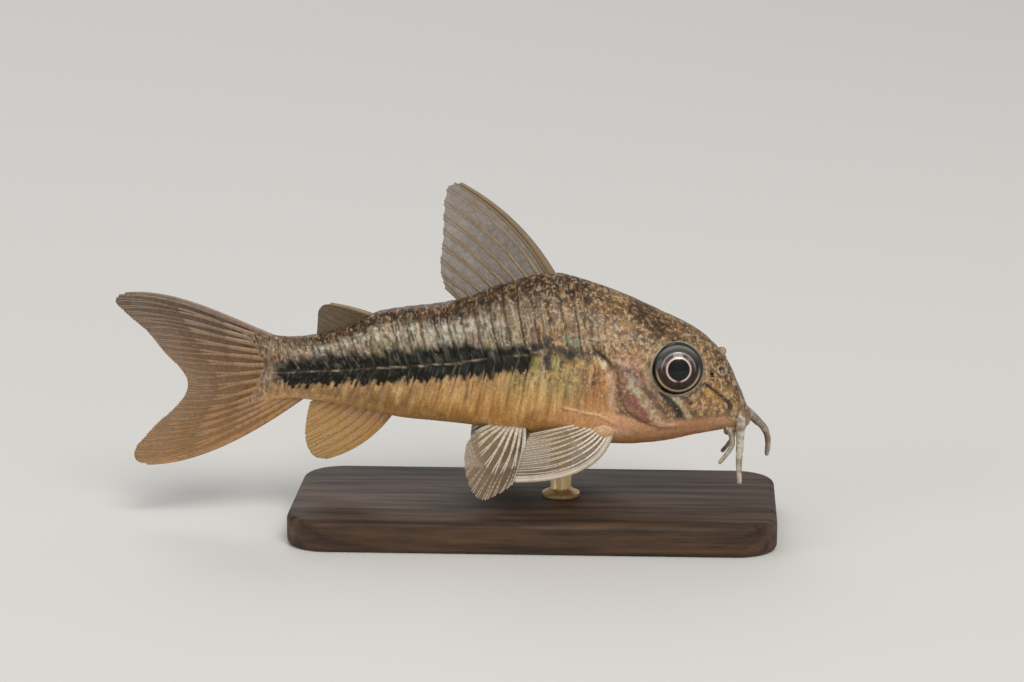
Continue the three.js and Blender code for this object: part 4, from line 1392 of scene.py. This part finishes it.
def ray_mesh(at, layout):
    """Tapered rays that fork towards the margin, with their joints and places on the fin."""
    pieces = [ray_piece(at, layout, *piece) for piece in ray_paths(layout)]
    points, faces = join([piece[:2] for piece in pieces])
    return points, faces, [np.concatenate(values) for values in zip(*(piece[2] for piece in pieces))]


def paint_web(layout, points, ray, t):
    """A web's colours, and how far it hides what is behind it."""
    colours = layout["colours"]
    cloud = rough_noise(points, 1.5, layout["seed"]) - 0.5
    late = 0.5 * ray / (layout["count"] - 1)
    paint = lay(plain(colours["web"], t), (colours["web_tip"], t + 0.4 * cloud), (colours["late"], late))
    cover = between(layout["cover"], t) + 0.15 * cloud
    if layout["paired"]:
        front = 0.95 * fall(ray + 0.2 * cloud, 0.38, 0.6)
        cover = np.maximum(cover, front)
        paint = mix(paint, colours["spine"], 0.9 * front)
    return paint, cover


def paint_rays(layout, points, joint, t, across):
    """The rays' colours, with their spines, joints and mottling."""
    colours = layout["colours"]
    on_spine = (across < 0.6 / (layout["count"] - 1)) * (layout["spines"] > 0)
    mottle = rough_noise(points, 0.6, layout["seed"] + 7)
    return lay(
        plain(colours["ray"], t),
        (colours["ray_tip"], t),
        (colours["late"], 0.6 * across),
        (colours["spine"], on_spine),
        (colours["joint"], 0.4 * ramp(joint, 0.7, 1.0)),
        (colours["joint"], 0.35 * ramp(mottle, 0.5, 0.75)),
    )


def make_fin(name, node_name, layout, materials, mirrored=False):
    """A fin's web and rays, from its layout."""
    at = fan(layout)
    points, faces, ray, t = web_mesh(at, layout)
    paint, cover = paint_web(layout, points, ray, t)
    if mirrored:
        points, faces = mirror(points, faces)
    web = make_object(f"{name}_web", points, faces, materials["web"], paint, {"cover": cover})
    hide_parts(node_name)
    points, faces, marks = ray_mesh(at, layout)
    paint = paint_rays(layout, points, *marks)
    if mirrored:
        points, faces = mirror(points, faces)
    rays = make_object(f"{name}_rays", points, faces, materials["rays"], paint)
    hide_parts(node_name)


def bowed(direction, amount):
    """A bow that changes from the first ray to the last."""
    direction = np.array(direction, float)
    return lambda u: np.asarray(amount(u))[..., None] * direction


BROWN_FIN = {
    "web": "#4b3823", "web_tip": "#55442f", "ray": "#8b7961", "ray_tip": "#82725f", "joint": "#5f4c36",
    "late": "#5c4c38", "spine": "#75624a",
}
TAIL_FIN = {
    "web": "#3a2816", "web_tip": "#4c3a28", "ray": "#806752", "ray_tip": "#75655a", "joint": "#574433",
    "late": "#a8783e", "spine": "#806752",
}
YELLOW_FIN = {
    "web": "#a4712a", "web_tip": "#a37a39", "ray": "#9c7434", "ray_tip": "#9e7d44", "joint": "#6d4e20",
    "late": "#9e7434", "spine": "#9c7434",
}
PALE_FIN = {
    "web": "#5a432a", "web_tip": "#6a563d", "ray": "#c9bfb0", "ray_tip": "#bcb0a1", "joint": "#7d7061",
    "late": "#a28e72", "spine": "#a69a89",
}

# What most fins share. Pairs are values at the root and at the margin, notch and forks are shares
# of a ray's length, apart and sway are shares of the way between two rays
FIN = dict(
    count=9, crest=bowed((0, 0, 0), lambda u: u), notch=0.008, web=(0.16, 0.06), apart=0.26, spines=0,
    teeth=0.0, paired=False, sway=0.4, spine=(0.3, 0.12), flat=0.9,
)
FINS = {
    "dorsal_fin": dict(
        FIN, root=body_line(18.5, 26.9, 0, -1),
        margin=curve_through(
            (27.5, 30.1), (28.3, 30.1), (28.85, 29.5), (29.1, 28.0), (29.2, 25.1), (29.45, 21.9),
            (29.0, 20.1),
        ),
        bow=bowed((0.75, 0, 0.675), lambda u: (1 - u) ** 1.5), notch=0.012, web=(0.14, 0.06),
        cover=(0.58, 0.44), forks=(0.3, None), apart=0.14, spines=1, teeth=0.05, paired=True, sway=0.16,
        ray=(0.25, 0.11), spine=(0.45, 0.15), colours=BROWN_FIN, seed=101,
    ),
    "adipose_fin": dict(
        FIN, root=body_line(34.9, 41.2, 0, -1),
        margin=curve_through((39.9, 18.4), (40.6, 18.3), (41.05, 17.8), (41.15, 16.9), (41.25, 15.6)),
        bow=bowed((0, 0, 0.2), lambda u: 1 - u), notch=0.0, web=(0.2, 0.08), cover=(0.9, 0.75),
        forks=(0.7, None), apart=0.2, spines=1, teeth=0.1, sway=0.1, ray=(0.08, 0.04),
        spine=(0.3, 0.16), colours=BROWN_FIN, seed=102,
    ),
    "caudal_fin": dict(
        FIN, root=curve_through((43.4, 14.4), (45.3, 13.9), (45.6, 12.1), (45.3, 10.2), (42.6, 9.5)),
        margin=curve_through(
            (59.5, 19.22), (60.25, 18.95), (60.45, 18.45), (59.3, 17.2), (57.4, 15.5), (55.8, 13.5),
            (54.2, 11.8), (53.7, 10.6), (53.95, 9.5), (55.1, 8.05), (56.5, 6.8), (57.9, 5.3),
            (58.95, 3.95), (58.85, 2.95), (57.8, 2.6),
        ),
        count=16, bow=bowed((0, 0, 1), lambda u: 0.2 - 1.3 * u),
        crest=bowed((0, 0, 1), lambda u: 0.85 * (1 - u) ** 3 - 0.3 * u**3), notch=0.004,
        web=(0.18, 0.06), cover=(0.88, 0.68), forks=(0.36, 0.62), apart=0.27, sway=0.3,
        ray=(0.32, 0.15), flat=0.55, colours=TAIL_FIN, seed=103,
    ),
    "anal_fin": dict(
        FIN, root=body_line(33.7, 40.4, 1, 0.9),
        margin=curve_through(
            (40.6, 3.3), (41.6, 3.5), (42.25, 4.35), (42.5, 5.6), (42.3, 7.6), (42.0, 8.8),
        ),
        count=10, bow=bowed((0.4, 0, -0.75), lambda u: (1 - u) ** 1.5), cover=(0.72, 0.6),
        forks=(0.45, 0.75), sway=0.3, ray=(0.18, 0.07), colours=YELLOW_FIN, seed=104,
    ),
}

# The right fins of each pair. The left ones are their mirror images
PAIRED_FINS = {
    "pectoral": dict(
        FIN, root=curve_through((13.15, 7.5, -4.65), (14.0, 7.9, -4.75), (15.1, 8.3, -4.6)),
        margin=curve_through(
            (21.95, 3.65, -8.8), (21.6, 4.95, -7.9), (21.2, 6.2, -7.0), (20.7, 7.4, -6.0),
        ),
        count=10, bow=bowed((1.7, -0.4, -1.1), lambda u: (1 - u) ** 1.3), cover=(0.68, 0.55),
        forks=(0.4, None), apart=0.24, spines=1, teeth=0.12, paired=True, ray=(0.19, 0.07),
        spine=(0.36, 0.22), flat=0.7, colours=PALE_FIN, seed=105,
    ),
    "pelvic": dict(
        FIN, root=curve_through((21.4, 7.8, -3.2), (22.4, 7.9, -3.0), (23.3, 7.9, -2.7)),
        margin=curve_through(
            (21.95, 2.9, -6.2), (23.5, 1.75, -6.4), (25.3, 1.05, -6.2), (26.3, 2.0, -5.7),
            (26.9, 4.0, -4.9), (26.75, 5.9, -4.3), (25.9, 7.0, -3.8),
        ),
        bow=bowed((0.35, -0.3, 0), lambda u: 1 - 1.6 * u), notch=0.012, cover=(0.68, 0.55),
        forks=(0.35, 0.65), ray=(0.24, 0.09), flat=0.7, colours=PALE_FIN, seed=106,
    ),
}


def make_fins(materials):
    """The four fins of the middle line, and the two pairs."""
    for name, layout in FINS.items():
        make_fin(name.removesuffix("_fin"), name, layout, materials)
    for side, sign in SIDES.items():
        for name, layout in PAIRED_FINS.items():
            make_fin(f"{name}_{side}", f"{name}_fin_{side}", layout, materials, mirrored=sign == LEFT)


FIN_ROOT = {"behind": 13.8, "height": 7.7, "side": 4.7, "size": (1.15, 0.75, 1.0)}


def make_fin_root(side, material):
    """The fleshy root of a pectoral fin, a soft rounded lump."""
    middle = place(FIN_ROOT["behind"], FIN_ROOT["height"], FIN_ROOT["side"] * SIDES[side])
    tilt = np.linspace(0, math.pi, 26)[1:-1, None]
    turn = full_turn(32)[None, :]
    unit = [np.sin(tilt) * np.cos(turn), np.sin(tilt) * np.sin(turn), np.cos(tilt) + 0 * turn]
    top = np.array([0, 0, FIN_ROOT["size"][2]])
    body = middle + np.stack(unit, axis=-1) * np.array(FIN_ROOT["size"])
    points, faces = closed_rings(body, [middle + top, middle - top])
    points = points + (points - middle) * (0.08 * (rough_noise(points, 0.5, 81) - 0.5))[:, None]
    paint = mix(plain("#b58a63", points[:, 0]), "#c9b9a0", 0.5 * noise(points, 0.5, 83))
    root = make_skin_piece(f"pectoral_{side}_root", points, faces, material, paint, speck=0.2)
    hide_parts(f"pectoral_fin_{side}")


# Barbels, lips and nostrils
# Radii at the root and near the tip, and the points that each barbel runs through
BARBEL_SIZES = {"upper": (0.55, 0.22), "lower": (0.34, 0.18)}
BARBEL_LINES = {
    "barbel_upper_right": [
        (1.2, 9.1, -1.3), (1.0, 8.1, -2.05), (1.02, 6.2, -2.4), (1.09, 3.8, -2.6), (1.03, 1.85, -2.7),
    ],
    "barbel_upper_left": [
        (0.9, 8.6, 1.1), (0.15, 7.85, 1.8), (-0.65, 7.0, 2.5), (-1.4, 6.05, 3.1), (-1.75, 4.8, 3.55),
        (-1.65, 3.2, 3.8),
    ],
    "barbel_lower_right": [
        (2.4, 7.6, -1.3), (1.9, 6.75, -1.9), (1.72, 5.95, -2.2), (1.95, 5.3, -2.4), (3.0, 4.0, -2.8),
    ],
    "barbel_lower_left": [
        (2.4, 7.6, 1.3), (1.85, 6.7, 1.95), (1.6, 5.8, 2.3), (1.8, 5.0, 2.6), (2.7, 3.7, 3.1),
    ],
}
BARBEL_SIDES = 24


def paint_barbel(points, t, browner):
    """Brown at the root and pale with darker flecks further out."""
    cloud = rough_noise(points, 0.45, 95)
    return lay(
        plain("#7d6650", t),
        ("#8f8473", ramp(t, 0.08, 0.35)),
        ("#b7b2a5", 0.8 * ramp(cloud, 0.48, 0.66)),
        ("#7a6248", np.full(len(t), browner)),
        ("#65584b", 0.7 * ramp(-cloud, -0.44, -0.3)),
    )


def make_barbels(material):
    """The four barbels as tapered, slightly uneven tubes. The left ones are browner."""
    t = np.linspace(0, 1, 110)
    rounded = np.sqrt(np.clip(1 - ((t - 0.955) / 0.045).clip(0, 1) ** 2, 0.02, 1))
    for index, (name, line) in enumerate(BARBEL_LINES.items()):
        taper = between(BARBEL_SIZES["upper" if "upper" in name else "lower"], t**0.75)
        wobble = 1 + 0.12 * (noise(t[:, None] * 22, 1.0, 90 + index) - 0.5)
        path = curve_through(*line)(t)
        points, faces = tube(path, taper * rounded * wobble, sides=BARBEL_SIDES)
        browner = 0.45 if "left" in name else 0.0
        paint = paint_barbel(points, spread_round(t, BARBEL_SIDES), browner)
        barbel = make_object(f"{name}_skin", points, faces, material, paint)
        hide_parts(name)


# Distance behind the snout and height of each lip's middle, and how far back and wide it reaches
LIPS = {"upper": (0.75, 7.05, 1.15, 1.75), "lower": (1.6, 6.75, 0.9, 1.45)}
LIP_RADIUS = 0.36


def make_lips(material):
    """Two soft lips round the front of the closed mouth."""
    t = np.linspace(0, 1, 80)
    ends = np.sqrt(np.clip(1 - (np.abs(2 * t - 1).clip(0.8, 1) - 0.8) ** 2 / 0.04, 0.1, 1))
    for name, (behind, height, reach, wide) in LIPS.items():
        line = curve_through(
            (behind + reach, height + 0.1, -wide),
            (behind + reach * 0.3, height, -wide * 0.62),
            (behind, height, 0),
            (behind + reach * 0.3, height, wide * 0.62),
            (behind + reach, height + 0.1, wide),
        )
        points, faces = tube(line(t), LIP_RADIUS * ends, sides=20)
        paint = mix(plain("#a98066", points[:, 0]), "#7d6353", 0.8 * rough_noise(points, 0.4, 97))
        make_skin_piece(f"lip_{name}", points, faces, material, paint, speck=0.05)


def make_nostrils(material):
    """A raised rim round each front nostril, highest at its front."""
    turn = full_turn(48)
    rise = NOSTRIL_RIM["rise"] * (0.75 + 0.35 * np.cos(turn))
    for side, sign in SIDES.items():
        seat, normal, forward, across = seat_frame(NOSTRIL_RIM, sign)
        circle = in_circle(turn, forward, across * sign)
        ring = seat + circle * NOSTRIL_RIM["radius"] + normal * (rise * 0.5)[:, None]
        tall = 0.1 + rise * 0.6
        points, faces = rim_tube(ring, circle, normal, NOSTRIL_RIM["thick"], tall, sign == RIGHT)
        paint = mix(plain("#a3967c", points[:, 0]), "#6d604c", noise(points, 0.3, 99))
        make_skin_piece(f"nostril_{side}", points, [faces], material, paint, speck=0.1)


FLAP = {"behind": 2.9, "height": 13.9, "width": 0.5, "rise": 0.62}


def make_nostril_flaps(material):
    """A thin upright tongue of skin over each front nostril."""
    t = np.linspace(0, 1, 24)
    width = FLAP["width"] * np.sqrt(1.02 - t**2.4)
    for side, sign in SIDES.items():
        seat, normal, forward, across = seat_frame(FLAP, sign)
        path = seat + normal * (FLAP["rise"] * t - 0.12)[:, None] - forward * (0.15 * t**2)[:, None]
        over = np.repeat([across], len(t), axis=0)
        points, faces = tube(path, width, sides=24, flat=0.1 - 0.04 * t, normal=over)
        paint = mix(plain("#8d7454", points[:, 0]), "#5f4c36", noise(points, 0.3, 98))
        make_skin_piece(f"nostril_flap_{side}", points, faces, material, paint, speck=0.4)


# The stand
BASE = {"length": 46.0, "width": 22.0, "thickness": 3.0, "corner": 4.0, "edge": 0.6}

# The collar on the rod: radii, and heights over the base
COLLAR_PROFILE = [
    (1.74, 0.0), (1.8, 0.05), (1.8, 0.33), (1.74, 0.4), (1.3, 0.6), (1.08, 0.75), (1.0, 0.92),
]
ROD_RADIUS = 1.0
ROD_SUNK = 0.35
SHARP_ANGLE = 40


def rounded_outline(grow, steps=14):
    """The base's outline, moved in or out."""
    x = BASE["length"] / 2 - BASE["corner"]
    y = BASE["width"] / 2 - BASE["corner"]
    radius = BASE["corner"] + grow
    points = []
    for quarter, (sx, sy) in enumerate(((1, 1), (-1, 1), (-1, -1), (1, -1))):
        turn = np.linspace(quarter * math.pi / 2, (quarter + 1) * math.pi / 2, steps)
        points.append(np.stack([sx * x + radius * np.cos(turn), sy * y + radius * np.sin(turn)], axis=-1))
    return np.concatenate(points)


def make_base(material):
    """A wooden base with rounded corners and softened edges, each edge a quarter circle."""
    edge, thickness = BASE["edge"], BASE["thickness"]
    turn = np.linspace(0, math.pi / 2, 8)
    lower = [(edge * (np.sin(a) - 1), edge * (1 - np.cos(a))) for a in turn]
    upper = [(edge * (np.cos(a) - 1), thickness - edge * (1 - np.sin(a))) for a in turn]
    rings = []
    for grow, height in lower + upper:
        outline = rounded_outline(grow)
        rings.append(np.concatenate([outline, np.full((len(outline), 1), height)], axis=1))
    vertices, faces = closed_rings(np.array(rings), [np.zeros(3), np.array([0, 0, thickness])])
    base = make_object("stand_base_wood", vertices, faces, material)
    base.data.set_sharp_from_angle(angle=math.radians(SHARP_ANGLE))
    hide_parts("stand_base")


def make_rod(material):
    """A brass rod with a collar, up into the fish's belly."""
    low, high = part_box("stand_rod")
    middle = np.array([(low[0] + high[0]) / 2, (low[1] + high[1]) / 2]) / MM
    foot, top = low[2] / MM, high[2] / MM + ROD_SUNK
    profile = [(radius, foot + rise) for radius, rise in COLLAR_PROFILE] + [(ROD_RADIUS, top)]
    turn = full_turn(64)
    circle = np.stack([np.cos(turn), np.sin(turn)], axis=-1)
    rings = []
    for radius, height in profile:
        rings.append(np.concatenate([middle + radius * circle, np.full((64, 1), height)], axis=1))
    tips = [np.append(middle, foot), np.append(middle, top)]
    vertices, faces = closed_rings(np.array(rings), tips)
    rod = make_object("stand_rod_brass", vertices, faces, material)
    rod.data.set_sharp_from_angle(angle=math.radians(SHARP_ANGLE))
    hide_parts("stand_rod")


# Camera, light and floor
CAMERA = {"azimuth": 3.0, "elevation": 12.0, "lens": 120.0, "sensor": 36.0}

# Millimetres for each pixel of the photograph at the fish
PIXEL = 0.095
IMAGE = (1024, 682)

# Where the middle of the fish, in millimetres, lies in the photograph
AIM_POINT = (-2.5, 0.0, 15.0)
AIM_PIXEL = (508.7, 372.1)


def make_camera():
    """The photograph's view, from a little in front of and above the fish's right side."""
    azimuth, elevation = math.radians(CAMERA["azimuth"]), math.radians(CAMERA["elevation"])
    level = math.cos(elevation)
    look = Vector((-math.sin(azimuth) * level, math.cos(azimuth) * level, -math.sin(elevation)))
    right = look.cross(Vector((0, 0, 1))).normalized()
    up = right.cross(look)
    distance = CAMERA["lens"] / CAMERA["sensor"] * IMAGE[0] * PIXEL
    aim = Vector(AIM_POINT) + right * (IMAGE[0] / 2 - AIM_PIXEL[0]) * PIXEL
    aim = aim + up * (AIM_PIXEL[1] - IMAGE[1] / 2) * PIXEL
    data = bpy.data.cameras.new("camera")
    data.lens = CAMERA["lens"]
    data.sensor_width = CAMERA["sensor"]
    data.clip_start = 0.01
    camera = bpy.data.objects.new("camera", data)
    camera.matrix_world = Matrix((right, up, -look)).transposed().to_4x4()
    camera.location = (aim - look * distance) * MM
    bpy.context.scene.collection.objects.link(camera)
    bpy.context.scene.camera = camera


MODEL_MIDDLE = Vector((0, 0, 0.014))


def area_light(name, location, size, power, colour, mirrored=True):
    """A round light that faces the model, and that glossy surfaces mirror or not."""
    data = bpy.data.lights.new(name, "AREA")
    data.shape = "DISK"
    data.size = size
    data.energy = power
    data.color = colour
    light = bpy.data.objects.new(name, data)
    light.location = location
    light.rotation_euler = (MODEL_MIDDLE - Vector(location)).to_track_quat("-Z", "Y").to_euler()
    light.visible_glossy = mirrored
    bpy.context.scene.collection.objects.link(light)


FLOOR_RADIUS = 4000


def make_floor():
    """A wide pale disc under the stand."""
    turn = full_turn(96)
    points = np.stack([FLOOR_RADIUS * np.cos(turn), FLOOR_RADIUS * np.sin(turn), 0 * turn], axis=-1)
    material = new_material("floor", Roughness=0.75, Base_Color=(0.62, 0.61, 0.59, 1))[0]
    mesh = bpy.data.meshes.new("floor")
    mesh.from_pydata((points * MM).tolist(), [], [list(range(len(points)))])
    mesh.materials.append(material)
    floor = bpy.data.objects.new("floor", mesh)
    bpy.context.scene.collection.objects.link(floor)


def make_studio():
    """Soft light from above, in front and behind, a pale world and a floor."""
    area_light("key", (0.25, -0.75, 0.85), 0.6, 9.5, (1, 0.97, 0.92))
    area_light("fill", (-0.9, -0.6, 0.35), 0.6, 2.4, (0.97, 0.98, 1))
    area_light("low", (0.5, -0.9, 0.06), 0.5, 2.6, (1, 0.96, 0.9), mirrored=False)
    area_light("back", (-0.3, 0.8, 0.7), 0.6, 2.2, (1, 1, 1))
    world = bpy.data.worlds.new("studio")
    world.use_nodes = True
    background = world.node_tree.nodes["Background"]
    background.inputs["Color"].default_value = (0.84, 0.84, 0.84, 1)
    background.inputs["Strength"].default_value = 0.52
    bpy.context.scene.world = world
    bpy.context.scene.view_settings.view_transform = "Standard"
    make_floor()


def build():
    """Every piece of the model, then the light round it."""
    skin, eye = skin_material(), eye_material()
    fins = {"web": web_material(), "rays": ray_material()}
    make_camera()
    make_skin(skin)
    for side in SIDES:
        make_eye(side, eye)
        make_eye_rim(side, skin)
        make_fin_root(side, skin)
    make_fins(fins)
    make_barbels(fins["rays"])
    make_lips(skin)
    make_nostrils(skin)
    make_nostril_flaps(skin)
    make_base(wood_material())
    make_rod(metal_material())
    make_studio()


build()
